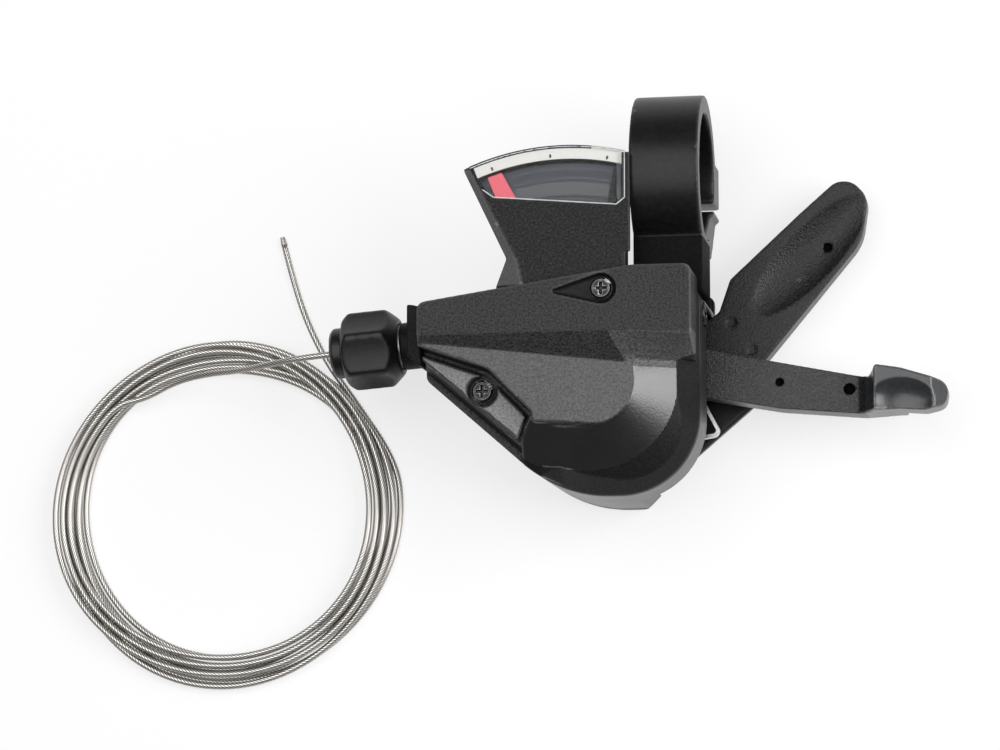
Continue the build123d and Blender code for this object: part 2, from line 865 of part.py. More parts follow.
# Display housing: a fan-shaped box over the bar, with a tongue under the cover for the needle
with BuildPart() as display_housing:
    with BuildSketch(level(display_z)):
        with BuildLine():
            arc_left = on_arc(display_arc_r, fan_left_angle)
            arc_right = on_arc(display_arc_r, fan_right_angle)
            ThreePointArc(arc_left, on_arc(display_arc_r, fan_mid_angle), arc_right)
            Polyline(
                arc_right,
                (display_right_x, fan_right_y),
                (display_right_x - fan_right_step, fan_root[1]),
                fan_root,
                *fan_left,
                arc_left,
            )
        make_face()
    extrude(amount=display_top - display_z)
    with BuildSketch(level(display_z + display_floor)):
        with BuildLine():
            room_left = on_arc(room_r, fan_left_angle - wall_angle)
            room_right = on_arc(room_r, fan_right_angle + wall_angle)
            ThreePointArc(room_left, on_arc(room_r, fan_mid_angle), room_right)
            Polyline(
                room_right,
                (display_right_x - display_wall, fan_right_y),
                (display_right_x - display_wall - fan_right_step, fan_root[1] - display_wall),
                (fan_root[0] + display_wall, fan_root[1] - display_wall),
                (fan_left[1][0] + display_wall, fan_left[1][1]),
                room_left,
            )
        make_face()
    extrude(amount=glass_z - display_z - display_floor, mode=Mode.SUBTRACT)
    with BuildSketch(level(glass_z)):
        window_outline()
    extrude(amount=beyond, mode=Mode.SUBTRACT)
    with BuildSketch(level(glass_z - strip_t)):
        arc_band(room_r + strip_w + play, room_r, fan_right_angle + strip_margin_angle, strip_sweep)
    extrude(amount=strip_t, mode=Mode.SUBTRACT)
    with BuildSketch(level(display_z, needle_at)):
        tongue_y = fan_root[1] - needle_at[1]
        outline([*tongue, (tongue_root[0], tongue_y), (tongue_root[1], tongue_y)])
    extrude(amount=display_floor)
    with BuildSketch(level(display_z, needle_at)):
        Circle(post_r)
    extrude(amount=display_floor, mode=Mode.SUBTRACT)
    with BuildSketch(level(display_z, upper_screw)):
        Circle(screw_r + play)
    extrude(amount=display_floor, mode=Mode.SUBTRACT)
    with BuildSketch(level(display_z + display_floor, upper_screw)):
        Circle(cover_column_r + play)
    extrude(amount=beyond, mode=Mode.SUBTRACT)
display_housing.part.label = "display_housing"
export_step(display_housing.part, "parts/display_housing.step")

# Pale scale strip on the ledge under the window
with BuildPart() as scale_strip:
    with BuildSketch(level(glass_z - strip_t)):
        arc_band(room_r + strip_w, room_r, fan_right_angle + strip_margin_angle, strip_sweep)
    extrude(amount=strip_t)
scale_strip.part.label = "scale_strip"
export_step(scale_strip.part, "parts/scale_strip.step")

# Clear window let into the top of the fan
with BuildPart() as display_window:
    with BuildSketch(level(glass_z)):
        window_outline()
    extrude(amount=window_t + play)
display_window.part.label = "display_window"
export_step(display_window.part, "parts/display_window.step")

# Shoulder pin on which the needle swings
with BuildPart() as needle_post:
    with BuildSketch(level(display_z, needle_at)):
        Circle(post_r)
    extrude(amount=needle_z + needle_t + play - display_z)
    with BuildSketch(level(needle_z + needle_t + play, needle_at)):
        Circle(post_r + post_head)
    extrude(amount=post_head_t)
needle_post.part.label = "needle_post"
export_step(needle_post.part, "parts/needle_post.step")

# Indicator needle: a short slotted tail on the drum's pin, and a pointer with a red flag
tail_angle = needle_mid + needle_half_turn / 2
tail_l = 2 * needle_pin_r * cos(radians(needle_half_turn / 2))
with BuildPart() as indicator_needle:
    with BuildSketch(level(needle_z)):
        with Locations(needle_at):
            Circle(post_r + needle_tail_w / 2)
        with Locations(on_arc(tail_l / 2, tail_angle)):
            SlotOverall(tail_l + needle_tail_w, needle_tail_w, rotation=tail_angle)
        with Locations(on_arc(needle_reach / 2 - needle_w, pointer_angle)):
            Rectangle(needle_reach - 2 * needle_w, needle_w, rotation=pointer_angle)
        outline([on_arc(needle_reach - length, angle) for angle, length in zip(flag_angles, flag_lengths)])
        with Locations(needle_at):
            Circle(post_r + running_play, mode=Mode.SUBTRACT)
        with Locations(on_arc(tail_l + needle_slot_in, tail_angle)):
            SlotOverall(
                2 * pin_r + needle_slot_l,
                2 * pin_r + play,
                rotation=tail_angle,
                mode=Mode.SUBTRACT,
            )
    extrude(amount=needle_t)
indicator_needle.part.label = "indicator_needle"
export_step(indicator_needle.part, "parts/indicator_needle.step")

# Main axle: a stepped stud riveted into the base plate
with BuildPart() as main_axle:
    with BuildSketch(level(base_z, axle_at)):
        Circle(axle_r)
    extrude(amount=drum_top + play - base_z)
    with BuildSketch(level(drum_top + play, axle_at)):
        Circle(axle_thread_r)
    extrude(amount=axle_top - drum_top - play)
    chamfer(main_axle.edges().group_by(Axis.Z)[-1], length=axle_edge)
main_axle.part.label = "main_axle"
export_step(main_axle.part, "parts/main_axle.step")

# Thrust washers under the thumb lever and under the nut
with BuildPart() as thrust_washers:
    for bottom, hole_r in ((base_top, axle_r), (drum_top + play, axle_thread_r)):
        with BuildSketch(level(bottom, axle_at)):
            Circle(washer_r)
            Circle(hole_r + running_play, mode=Mode.SUBTRACT)
        extrude(amount=washer_t)
thrust_washers.part.label = "thrust_washers"
export_step(thrust_washers.part, "parts/thrust_washers.step")

with BuildPart() as axle_nut:
    with BuildSketch(level(drum_top + play + washer_t, axle_at)):
        RegularPolygon(axle_nut_size / 2, 6, major_radius=False)
        Circle(axle_thread_r, mode=Mode.SUBTRACT)
    extrude(amount=nut_h)
axle_nut.part.label = "axle_nut"
export_step(axle_nut.part, "parts/axle_nut.step")

# Sleeve on the axle, which spaces the levers and carries the trigger
with BuildPart() as spacer_sleeve:
    with BuildSketch(level(lever_top + play, axle_at)):
        Circle(sleeve_r)
        Circle(axle_r + running_play, mode=Mode.SUBTRACT)
    extrude(amount=ratchet_z - lever_top - 2 * play)
spacer_sleeve.part.label = "spacer_sleeve"
export_step(spacer_sleeve.part, "parts/spacer_sleeve.step")

# Cable drum, turned with a groove for the cable and a keyed hub below
nipple_at = polar(axle_at, nipple_seat_r, 90 + cable_tilt - nipple_lag)
axle_line = Axis((axle_x, axle_y, 0), (0, 0, 1))
with BuildPart() as winder_drum:
    with BuildSketch(Plane(origin=(axle_x, axle_y, 0), x_dir=(1, 0, 0), z_dir=(0, -1, 0))):
        outline(
            [
                (axle_r + running_play, ratchet_z),
                (hub_r, ratchet_z),
                (hub_r, ratchet_top),
                (flange_r, ratchet_top),
                (flange_r, cable_z - groove_half),
                (groove_r, cable_z - groove_half),
                (groove_r, cable_z + groove_half),
                (flange_r, cable_z + groove_half),
                (flange_r, flange_top),
                (drum_top_r, flange_top),
                (drum_top_r, drum_top),
                (axle_r + running_play, drum_top),
            ]
        )
    revolve(axis=axle_line)
    with BuildSketch(level(cable_z - nipple_h / 2, nipple_at)):
        Circle(nipple_r + play)
    extrude(amount=beyond, mode=Mode.SUBTRACT)
    with BuildSketch(level(flange_top, needle_pin_at)):
        Circle(pin_r)
    extrude(amount=drum_top - flange_top, mode=Mode.SUBTRACT)
    # Flats that key the ratchet wheel
    with BuildSketch(level(ratchet_z, axle_at)):
        with Locations((0, hub_r), (0, -hub_r)):
            Rectangle(2 * hub_r, 2 * key_depth)
    extrude(amount=ratchet_t, mode=Mode.SUBTRACT)
winder_drum.part.label = "winder_drum"
export_step(winder_drum.part, "parts/winder_drum.step")

# Ratchet wheel: saw teeth that face against the pull of the cable
tooth_pitch = 360 / tooth_count
with BuildPart() as ratchet_wheel:
    with BuildSketch(level(ratchet_z, axle_at)):
        teeth = []
        for tooth in range(tooth_count):
            start = tooth * tooth_pitch
            teeth.append(polar((0, 0), ratchet_r, start))
            teeth.append(polar((0, 0), ratchet_r, start + tooth_pitch * tooth_land))
            teeth.append(polar((0, 0), ratchet_r - tooth_h, start + tooth_pitch * (tooth_land + tooth_face)))
        outline(teeth)
        Circle(hub_r + running_play, mode=Mode.SUBTRACT)
        with Locations((0, hub_r + play / 2), (0, -hub_r - play / 2)):
            Rectangle(1.3 * hub_r, 2 * key_depth - play)
    extrude(amount=ratchet_t - running_play)
ratchet_wheel.part.label = "ratchet_wheel"
export_step(ratchet_wheel.part, "parts/ratchet_wheel.step")

with BuildPart() as needle_drive_pin:
    with BuildSketch(level(flange_top, needle_pin_at)):
        Circle(pin_r)
    extrude(amount=needle_z + needle_t + pin_spare - flange_top)
needle_drive_pin.part.label = "needle_drive_pin"
export_step(needle_drive_pin.part, "parts/needle_drive_pin.step")

with BuildPart() as cable_nipple:
    with BuildSketch(level(cable_z - nipple_h / 2, nipple_at)):
        Circle(nipple_r)
    extrude(amount=nipple_h)
    chamfer(cable_nipple.edges().group_by(Axis.Z)[-1], length=nipple_edge)
cable_nipple.part.label = "cable_nipple"
export_step(cable_nipple.part, "parts/cable_nipple.step")

# Thumb lever: a steel plate on the axle, with an arm for the paddle and an ear for its pawl
paddle_arm_mid = polar(axle_at, paddle_arm_l / 2, paddle_arm_angle)
with BuildPart() as thumb_lever_plate:
    with BuildSketch(level(lever_z)):
        with Locations(axle_at):
            Circle(lever_hub_r)
        with Locations(paddle_arm_mid):
            SlotOverall(paddle_arm_l, paddle_arm_w, rotation=paddle_arm_angle)
        with Locations(polar(axle_at, drive_pin_reach / 2, drive_pin_angle)):
            SlotOverall(drive_pin_reach + ear_w, ear_w, rotation=drive_pin_angle)
        with Locations(axle_at):
            Circle(axle_r + running_play, mode=Mode.SUBTRACT)
        with Locations(drive_pin_at):
            Circle(pawl_pin_r, mode=Mode.SUBTRACT)
    extrude(amount=lever_t)
thumb_lever_plate.part.label = "thumb_lever_plate"
export_step(thumb_lever_plate.part, "parts/thumb_lever_plate.step")


def dish(at, angle, top, half_l, half_w, depth):
    """A long shallow hollow with round ends, to be pressed into a top face."""
    across_r = (half_w**2 + depth**2) / (2 * depth)
    along_r = half_l * across_r / half_w
    middle = Plane(
        origin=(at[0], at[1], top + across_r - depth),
        x_dir=(cos(radians(angle)), sin(radians(angle)), 0),
        z_dir=(0, 0, 1),
    )
    with BuildPart() as hollow:
        with BuildSketch(middle):
            Ellipse(along_r, across_r)
            with Locations((0, across_r)):
                Rectangle(2 * along_r, 2 * across_r, mode=Mode.SUBTRACT)
        revolve(axis=Axis(middle.origin, middle.x_dir))
    return hollow.part


# Moulded paddle over the end of the plate, with a long hollow for the thumb
paddle_dish = dish(
    paddle_dish_at,
    paddle_dish_angle,
    paddle_top,
    paddle_dish_half_l,
    paddle_dish_half_w,
    paddle_dish_depth,
)
with BuildPart() as thumb_paddle:
    with BuildSketch(level(paddle_z)):
        with BuildLine():
            FilletPolyline(*paddle_outline, radius=paddle_radii, close=True)
        make_face()
    extrude(amount=paddle_top - paddle_z)
    add(paddle_dish, mode=Mode.SUBTRACT)
    with BuildSketch(level(paddle_top, paddle_hole)):
        Circle(paddle_hole_r)
    extrude(amount=-paddle_dish_depth - hole_depth, mode=Mode.SUBTRACT)
    for spot in paddle_marks:
        with BuildSketch(level(paddle_top, spot)):
            Circle(mark_r)
        extrude(amount=-mark_depth, mode=Mode.SUBTRACT)
    with BuildSketch(level(lever_z)):
        with Locations(paddle_arm_mid):
            SlotOverall(paddle_arm_l, paddle_arm_w, rotation=paddle_arm_angle)
    extrude(amount=lever_t, mode=Mode.SUBTRACT)
thumb_paddle.part.label = "thumb_paddle"
export_step(thumb_paddle.part, "parts/thumb_paddle.step")

# Release trigger: a steel plate on the sleeve, with a finger that lifts the holding pawl
root_high, root_low = [polar(axle_at, trigger_hub_r - play, angle) for angle in trigger_root_angles]
trigger_plan = [root_high, *trigger_arm, root_low]
with BuildPart() as trigger_plate:
    with BuildSketch(level(trigger_z)):
        with Locations(axle_at):
            Circle(trigger_hub_r)
        outline(trigger_plan)
        with Locations(polar(axle_at, finger_reach / 2, finger_angle)):
            SlotOverall(finger_reach, finger_w, rotation=finger_angle)
        with Locations(axle_at):
            Circle(sleeve_r + running_play, mode=Mode.SUBTRACT)
    extrude(amount=trigger_t)
trigger_plate.part.label = "trigger_plate"
export_step(trigger_plate.part, "parts/trigger_plate.step")

# Moulded grip of the trigger: a flat arm that steps up to a hollowed finger pad
pad_dish = dish(pad_dish_at, pad_dish_angle, tip_top, pad_dish_half_l, pad_dish_half_w, pad_dish_depth)
with BuildPart() as trigger_grip:
    with BuildSketch(level(trigger_grip_z)):
        with BuildLine():
            FilletPolyline(*grip_outline, radius=grip_radii, close=True)
        make_face()
    extrude(amount=tip_top - trigger_grip_z)
    with BuildSketch(Plane.XZ.offset(beyond)):
        with BuildLine():
            step_foot, step_head = (step_x, trigger_grip_top), (step_x + step_l, tip_top)
            step_mid = (step_x + step_l / 2 + step_hollow, (trigger_grip_top + tip_top) / 2 - step_hollow)
            ThreePointArc(step_foot, step_mid, step_head)
            Polyline(step_head, (0, tip_top), (0, trigger_grip_top), step_foot)
        make_face()
    extrude(amount=-beyond, mode=Mode.SUBTRACT)
    add(pad_dish, mode=Mode.SUBTRACT)
    with BuildSketch(Plane.XZ.offset(beyond)):
        slope_end = (tip_slope_x + beyond, tip_top - tip_slope * beyond)
        outline([(tip_slope_x, tip_top), (tip_slope_x + beyond, tip_top), slope_end])
    extrude(amount=-beyond, mode=Mode.SUBTRACT)
    with BuildSketch(level(trigger_grip_z)):
        outline([(tip_undercut_x, -beyond), (tip_undercut_x, 0), (beyond, 0), (beyond, -beyond)])
    extrude(amount=tip_undercut, mode=Mode.SUBTRACT)
    for hole_x, hole_y, hole_r in grip_holes:
        with BuildSketch(level(trigger_grip_top, (hole_x, hole_y))):
            Circle(hole_r)
        extrude(amount=-hole_depth, mode=Mode.SUBTRACT)
    with BuildSketch(level(trigger_z)):
        outline(trigger_plan)
    extrude(amount=trigger_t, mode=Mode.SUBTRACT)
trigger_grip.part.label = "trigger_grip"
export_step(trigger_grip.part, "parts/trigger_grip.step")

# Pins of the two pawls, with a shoulder below each spring
with BuildPart() as drive_pawl_pin:
    with BuildSketch(level(lever_z, drive_pin_at)):
        Circle(pawl_pin_r)
    extrude(amount=pawl_top + pawl_pin_spare - lever_z)
    with BuildSketch(level(lever_top, drive_pin_at)):
        Circle(pawl_boss_r)
    extrude(amount=trigger_z - lever_top)
drive_pawl_pin.part.label = "drive_pawl_pin"
export_step(drive_pawl_pin.part, "parts/drive_pawl_pin.step")

with BuildPart() as hold_pawl_pin:
    with BuildSketch(level(base_z, hold_pin_at)):
        Circle(pawl_pin_r)
    extrude(amount=pawl_top + pawl_pin_spare - base_z)
    with BuildSketch(level(base_top, hold_pin_at)):
        Circle(pawl_boss_r)
    extrude(amount=lever_top - base_top)
hold_pawl_pin.part.label = "hold_pawl_pin"
export_step(hold_pawl_pin.part, "parts/hold_pawl_pin.step")

nose_r = ratchet_r + pawl_clear


def pawl_body(pin_at, nose_angle):
    """A pawl from its pin to a blunt nose that rides just clear of the teeth."""
    with Locations(pin_at):
        Circle(pawl_boss_r)
    outline(
        [
            polar(axle_at, nose_r, nose_angle),
            polar(axle_at, nose_r + nose_t, nose_angle),
            pin_at,
            polar(axle_at, nose_r + nose_side_t, nose_angle + nose_side_turn),
        ]
    )
    with Locations(pin_at):
        Circle(pawl_pin_r + running_play, mode=Mode.SUBTRACT)


with BuildPart() as drive_pawl:
    with BuildSketch(level(pawl_z)):
        pawl_body(drive_pin_at, drive_nose_angle)
    extrude(amount=pawl_t)
drive_pawl.part.label = "drive_pawl"
export_step(drive_pawl.part, "parts/drive_pawl.step")

# The holding pawl has a tail under the ratchet, which the trigger's finger pushes
tail_mid_angle = (hold_nose_angle + hold_tail_angle) / 2
with BuildPart() as hold_pawl:
    with BuildSketch(level(trigger_z)):
        pawl_body(hold_pin_at, hold_nose_angle)
    extrude(amount=pawl_top - trigger_z)
    with BuildSketch(level(trigger_z)):
        outline(
            [
                polar(axle_at, nose_r + nose_t - play, hold_nose_angle),
                polar(axle_at, hold_tail_reach + hold_tail_w, tail_mid_angle),
                polar(axle_at, hold_tail_reach + hold_tail_w, hold_tail_angle),
                polar(axle_at, hold_tail_reach, hold_tail_angle),
                polar(axle_at, hold_tail_reach + hold_tail_w / 4, tail_mid_angle),
                polar(axle_at, nose_r - nose_side_t, hold_nose_angle),
                polar(axle_at, nose_r + nose_side_t, hold_nose_angle + nose_side_turn / 2),
            ]
        )
    extrude(amount=pawl_z - play - trigger_z)
hold_pawl.part.label = "hold_pawl"
export_step(hold_pawl.part, "parts/hold_pawl.step")


def coil_with_leg(centre, inner_r, leg_angle, leg_l):
    """The room that a wound spring takes round a pin, with one straight leg."""
    with Locations(centre):
        Circle(inner_r + spring_t)
    with Locations(polar(centre, leg_l / 2, leg_angle)):
        Rectangle(leg_l, spring_t, rotation=leg_angle)
    with Locations(centre):
        Circle(inner_r, mode=Mode.SUBTRACT)


# Return spring of the thumb lever, wound on the sleeve with its leg against the post
hook_gap = spring_post_r + play + spring_t / 2
hook_angle = spring_post_angle - degrees(asin(hook_gap / spring_post_reach))
with BuildPart() as lever_return_spring:
    with BuildSketch(level(lever_top + 2 * play)):
        coil_with_leg(axle_at, sleeve_r + 2 * play, hook_angle, spring_post_reach + spring_post_r)
    extrude(amount=trigger_z - lever_top - 4 * play)
lever_return_spring.part.label = "lever_return_spring"
export_step(lever_return_spring.part, "parts/lever_return_spring.step")

with BuildPart() as drive_pawl_spring:
    with BuildSketch(level(trigger_z + play)):
        coil_with_leg(drive_pin_at, pawl_pin_r + play, drive_leg_angle, pawl_leg_l)
    extrude(amount=pawl_z - trigger_z - 2 * play)
drive_pawl_spring.part.label = "drive_pawl_spring"
export_step(drive_pawl_spring.part, "parts/drive_pawl_spring.step")

with BuildPart() as hold_pawl_spring:
    with BuildSketch(level(lever_top + play)):
        coil_with_leg(hold_pin_at, pawl_pin_r + play, hold_leg_angle, pawl_leg_l)
    extrude(amount=trigger_z - lever_top - 2 * play)
hold_pawl_spring.part.label = "hold_pawl_spring"
export_step(hold_pawl_spring.part, "parts/hold_pawl_spring.step")

# Flat steel strip from its post to the lower edge of the trigger, seen past the edge of the cover
with BuildPart() as trigger_return_spring:
    with BuildSketch(level(trigger_z)):
        with BuildLine():
            strip_start = (spring_post_at[0], spring_post_at[1] + hook_gap)
            FilletPolyline(strip_start, strip_bend, strip_end, radius=strip_bend_r)
        trace(line_width=spring_t)
    extrude(amount=trigger_t)
trigger_return_spring.part.label = "trigger_return_spring"
export_step(trigger_return_spring.part, "parts/trigger_return_spring.step")

# Screw plug in the hole through which a new cable is threaded
with BuildPart() as cable_port_plug:
    with BuildSketch(port_plane.offset(plug_proud)):
        Circle(port_r)
    extrude(amount=-wall - plug_proud)
    with BuildSketch(port_plane.offset(plug_proud)):
        Rectangle(plug_slot_w, 2 * port_r - plug_slot_w)
    extrude(amount=-plug_slot_depth, mode=Mode.SUBTRACT)
cable_port_plug.part.label = "cable_port_plug"
export_step(cable_port_plug.part, "parts/cable_port_plug.step")

cable_line = Axis(on_cable(0).origin, on_cable(0).z_dir)


def section_along_cable(distance, points):
    """A turned profile: how far along the cable from a distance, and how far out."""
    start = on_cable(distance)
    with BuildSketch(Plane(origin=start.origin, x_dir=start.z_dir, z_dir=(0, 0, 1))) as profile:
        outline(points)
    return profile.sketch


# Cable adjuster: the barrel takes the end of the casing and slides in the boss
barrel_end = collar_l + knob_l + play + boss_l + barrel_reach
with BuildPart() as adjuster_barrel:
    barrel_profile = section_along_cable(
        collar_far,
        [
            (0, casing_r),
            (0, collar_r - collar_edge),
            (collar_edge, collar_r),
            (collar_l - play, collar_r),
            (collar_l - play, barrel_r),
            (barrel_end, barrel_r),
            (barrel_end, cable_hole_r),
            (casing_depth, cable_hole_r),
            (casing_depth, casing_r),
        ],
    )
    revolve(barrel_profile, axis=cable_line)
adjuster_barrel.part.label = "adjuster_barrel"
export_step(adjuster_barrel.part, "parts/adjuster_barrel.step")

# Six-sided knob on the barrel, hollow at its right end for the spring that makes it click
with BuildPart() as adjuster_knob:
    knob_profile = section_along_cable(
        knob_far,
        [
            (0, barrel_r + running_play),
            (0, knob_r - knob_edge),
            (knob_edge, knob_r),
            (knob_l - knob_taper, knob_r),
            (knob_l, knob_waist_r),
            (knob_l, spring_room_r),
            (knob_l - spring_room_l, spring_room_r),
            (knob_l - spring_room_l, barrel_r + running_play),
        ],
    )
    revolve(knob_profile, axis=cable_line)
    with BuildSketch(on_cable(knob_far)):
        with PolarLocations(knob_r + knob_side_r - knob_side_depth, knob_sides, knob_side_angle):
            Circle(knob_side_r)
    extrude(amount=knob_l, mode=Mode.SUBTRACT)
adjuster_knob.part.label = "adjuster_knob"
export_step(adjuster_knob.part, "parts/adjuster_knob.step")

with BuildPart() as adjuster_spring:
    with BuildSketch(on_cable(knob_end + spring_room_l - play)):
        Circle(spring_room_r - 2 * play)
        Circle(barrel_r + 2 * play, mode=Mode.SUBTRACT)
    extrude(amount=spring_room_l)
adjuster_spring.part.label = "adjuster_spring"
export_step(adjuster_spring.part, "parts/adjuster_spring.step")

# Inner cable, straight from the drum to the end of the adjuster
with BuildPart() as cable_run:
    with BuildSketch(on_cable(collar_far)):
        Circle(cable_d / 2)
    extrude(amount=collar_far)
cable_run.part.label = "cable_run"
export_step(cable_run.part, "parts/cable_run.step")

# The free cable: it leaves the adjuster, sinks onto its own coil, and its end lies on the ground
ground_z = base_z + cable_d / 2
lead_start = on_cable(collar_far).origin
lead_next = on_cable(collar_far + lead_first).origin
lead_route = [
    (lead_start.X, lead_start.Y, cable_z),
    (lead_next.X, lead_next.Y, cable_z),
    (-74.0, -30.9, -3.6),
    (-80.4, -31.2, -8.0),
    (-87.0, -31.0, -12.0),
    (-94.0, -31.9, -14.8),
    (-100.2, -34.9, -15.9),
]
tail_route = [
    (-62.0, -34.6, ground_z),
    (-66.2, -28.9, ground_z),
    (-69.8, -22.0, ground_z),
    (-72.6, -14.3, ground_z),
    (-74.6, -6.6, ground_z),
]


def bend_radii(route):
    """The largest bend that the two runs at each point of a route leave room for."""
    points = [Vector(*point) for point in route]
    radii = []
    for before, here, after in zip(points, points[1:], points[2:]):
        turn = (here - before).get_angle(after - here)
        shorter = min((here - before).length, (after - here).length)
        radii.append(0.45 * shorter / tan(radians(turn / 2)))
    print("bend radii", [round(radius, 1) for radius in radii])
    return radii


with BuildPart() as cable_lead:
    with BuildLine() as lead_line:
        FilletPolyline(*lead_route, radius=bend_radii(lead_route))
    with BuildSketch(Plane(origin=lead_line.line @ 0, z_dir=lead_line.line % 0)):
        Circle(cable_d / 2)
    sweep()
cable_lead.part.label = "cable_lead"
export_step(cable_lead.part, "parts/cable_lead.step")

# The coil as one closed ring of its outer shape
with BuildPart() as cable_coil:
    with BuildSketch(Plane(origin=(coil_at[0], coil_at[1], 0), x_dir=(1, 0, 0), z_dir=(0, -1, 0))):
        with Locations((coil_mean_r, base_z + coil_h / 2)):
            RectangleRounded(coil_w, coil_h, coil_edge_r)
    revolve(axis=Axis((coil_at[0], coil_at[1], 0), (0, 0, 1)))
cable_coil.part.label = "cable_coil"
export_step(cable_coil.part, "parts/cable_coil.step")

with BuildPart() as cable_tail:
    with BuildLine() as tail_line:
        FilletPolyline(*tail_route, radius=bend_radii(tail_route))
    with BuildSketch(Plane(origin=tail_line.line @ 0, z_dir=tail_line.line % 0)):
        Circle(cable_d / 2)
    sweep()
cable_tail.part.label = "cable_tail"
export_step(cable_tail.part, "parts/cable_tail.step")

# Welded tip of the cable
with BuildPart() as cable_tip:
    with BuildSketch(Plane(origin=tail_line.line @ 1, z_dir=tail_line.line % 1)):
        Circle(cable_d / 2)
    extrude(amount=tip_l, taper=tip_taper)
cable_tip.part.label = "cable_tip"
export_step(cable_tip.part, "parts/cable_tip.step")

# Each tube's volume against its section times its length, which should come to one
for name, line, tube in (("lead", lead_line, cable_lead), ("tail", tail_line, cable_tail)):
    length = sum(edge.length for edge in line.edges())
    print(name, round(length, 1), round(tube.part.volume / length / (pi * cable_d**2 / 4), 4))
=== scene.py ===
from math import cos, pi, radians, sin

import bmesh
import bpy
from mathutils import Matrix, Vector


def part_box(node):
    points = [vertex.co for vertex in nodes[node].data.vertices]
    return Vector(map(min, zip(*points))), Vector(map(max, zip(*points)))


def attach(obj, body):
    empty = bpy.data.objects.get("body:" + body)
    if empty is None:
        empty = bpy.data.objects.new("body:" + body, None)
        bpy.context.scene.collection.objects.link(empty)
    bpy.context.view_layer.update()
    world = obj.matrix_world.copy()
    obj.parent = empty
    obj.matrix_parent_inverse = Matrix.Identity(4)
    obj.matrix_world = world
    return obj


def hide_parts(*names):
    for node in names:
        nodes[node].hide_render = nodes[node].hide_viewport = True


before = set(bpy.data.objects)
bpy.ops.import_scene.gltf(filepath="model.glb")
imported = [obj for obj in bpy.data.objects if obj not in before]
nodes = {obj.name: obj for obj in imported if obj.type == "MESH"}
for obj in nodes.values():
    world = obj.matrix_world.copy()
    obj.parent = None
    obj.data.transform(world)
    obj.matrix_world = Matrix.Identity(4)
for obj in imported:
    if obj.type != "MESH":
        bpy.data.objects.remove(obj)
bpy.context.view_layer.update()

# Clamp bracket: the handlebar ring with its split lug and the neck that carries the body.
# An aluminium casting, tumbled until its edges are round and painted satin black.
# The ring opens at the slot, and the bolt draws it shut on the bar.
paint_black = (0.0050, 0.0050, 0.0054)
# The paler colour along the bracket's edges is a painted highlight.
paint_edge_highlight = (0.045, 0.045, 0.047)
neck_from_y = -0.0118
ring_end_x = 0.0061
weld_gap = 0.000004
smooth_share = 0.5
pebble_detail = 2.0
pebble_rough = 0.6
dark_at, pale_at = 0.36, 0.68
pale_gain = 1.5
fleck_at, fleck_from = 0.70, 0.50
highlight_from, highlight_to = 0.51, 0.57
cloud_scale, cloud_detail = 150.0, 3.0
gloss_swing = 0.06


def placed(name, shape):
    """A new piece made from a finished shape."""
    mesh = bpy.data.meshes.new(name)
    shape.to_mesh(mesh)
    shape.free()
    piece = bpy.data.objects.new(name, mesh)
    bpy.context.collection.objects.link(piece)
    return piece


def softened(name, body, cell, rounding, fillings=()):
    """A copy of one solid with the round edges of a moulding, set in that solid's place."""
    shape = bmesh.new()
    shape.from_mesh(nodes[name].data)
    bmesh.ops.remove_doubles(shape, verts=shape.verts, dist=weld_gap)
    for corners in fillings:
        bmesh.ops.convex_hull(shape, input=[shape.verts.new(corner) for corner in corners])
    piece = placed(name + "_soft", shape)
    solid_skin = piece.data
    even = piece.modifiers.new("even_skin", "REMESH")
    even.mode = "VOXEL"
    even.voxel_size = cell
    rounded = piece.modifiers.new("rounded_edges", "SMOOTH")
    rounded.factor = smooth_share
    rounded.iterations = rounding
    ready = piece.evaluated_get(bpy.context.evaluated_depsgraph_get())
    piece.data = bpy.data.meshes.new_from_object(ready)
    piece.modifiers.clear()
    bpy.data.meshes.remove(solid_skin)
    piece.data.name = name + "_soft"
    piece.data.shade_smooth()
    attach(piece, body)
    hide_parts(name)
    return piece


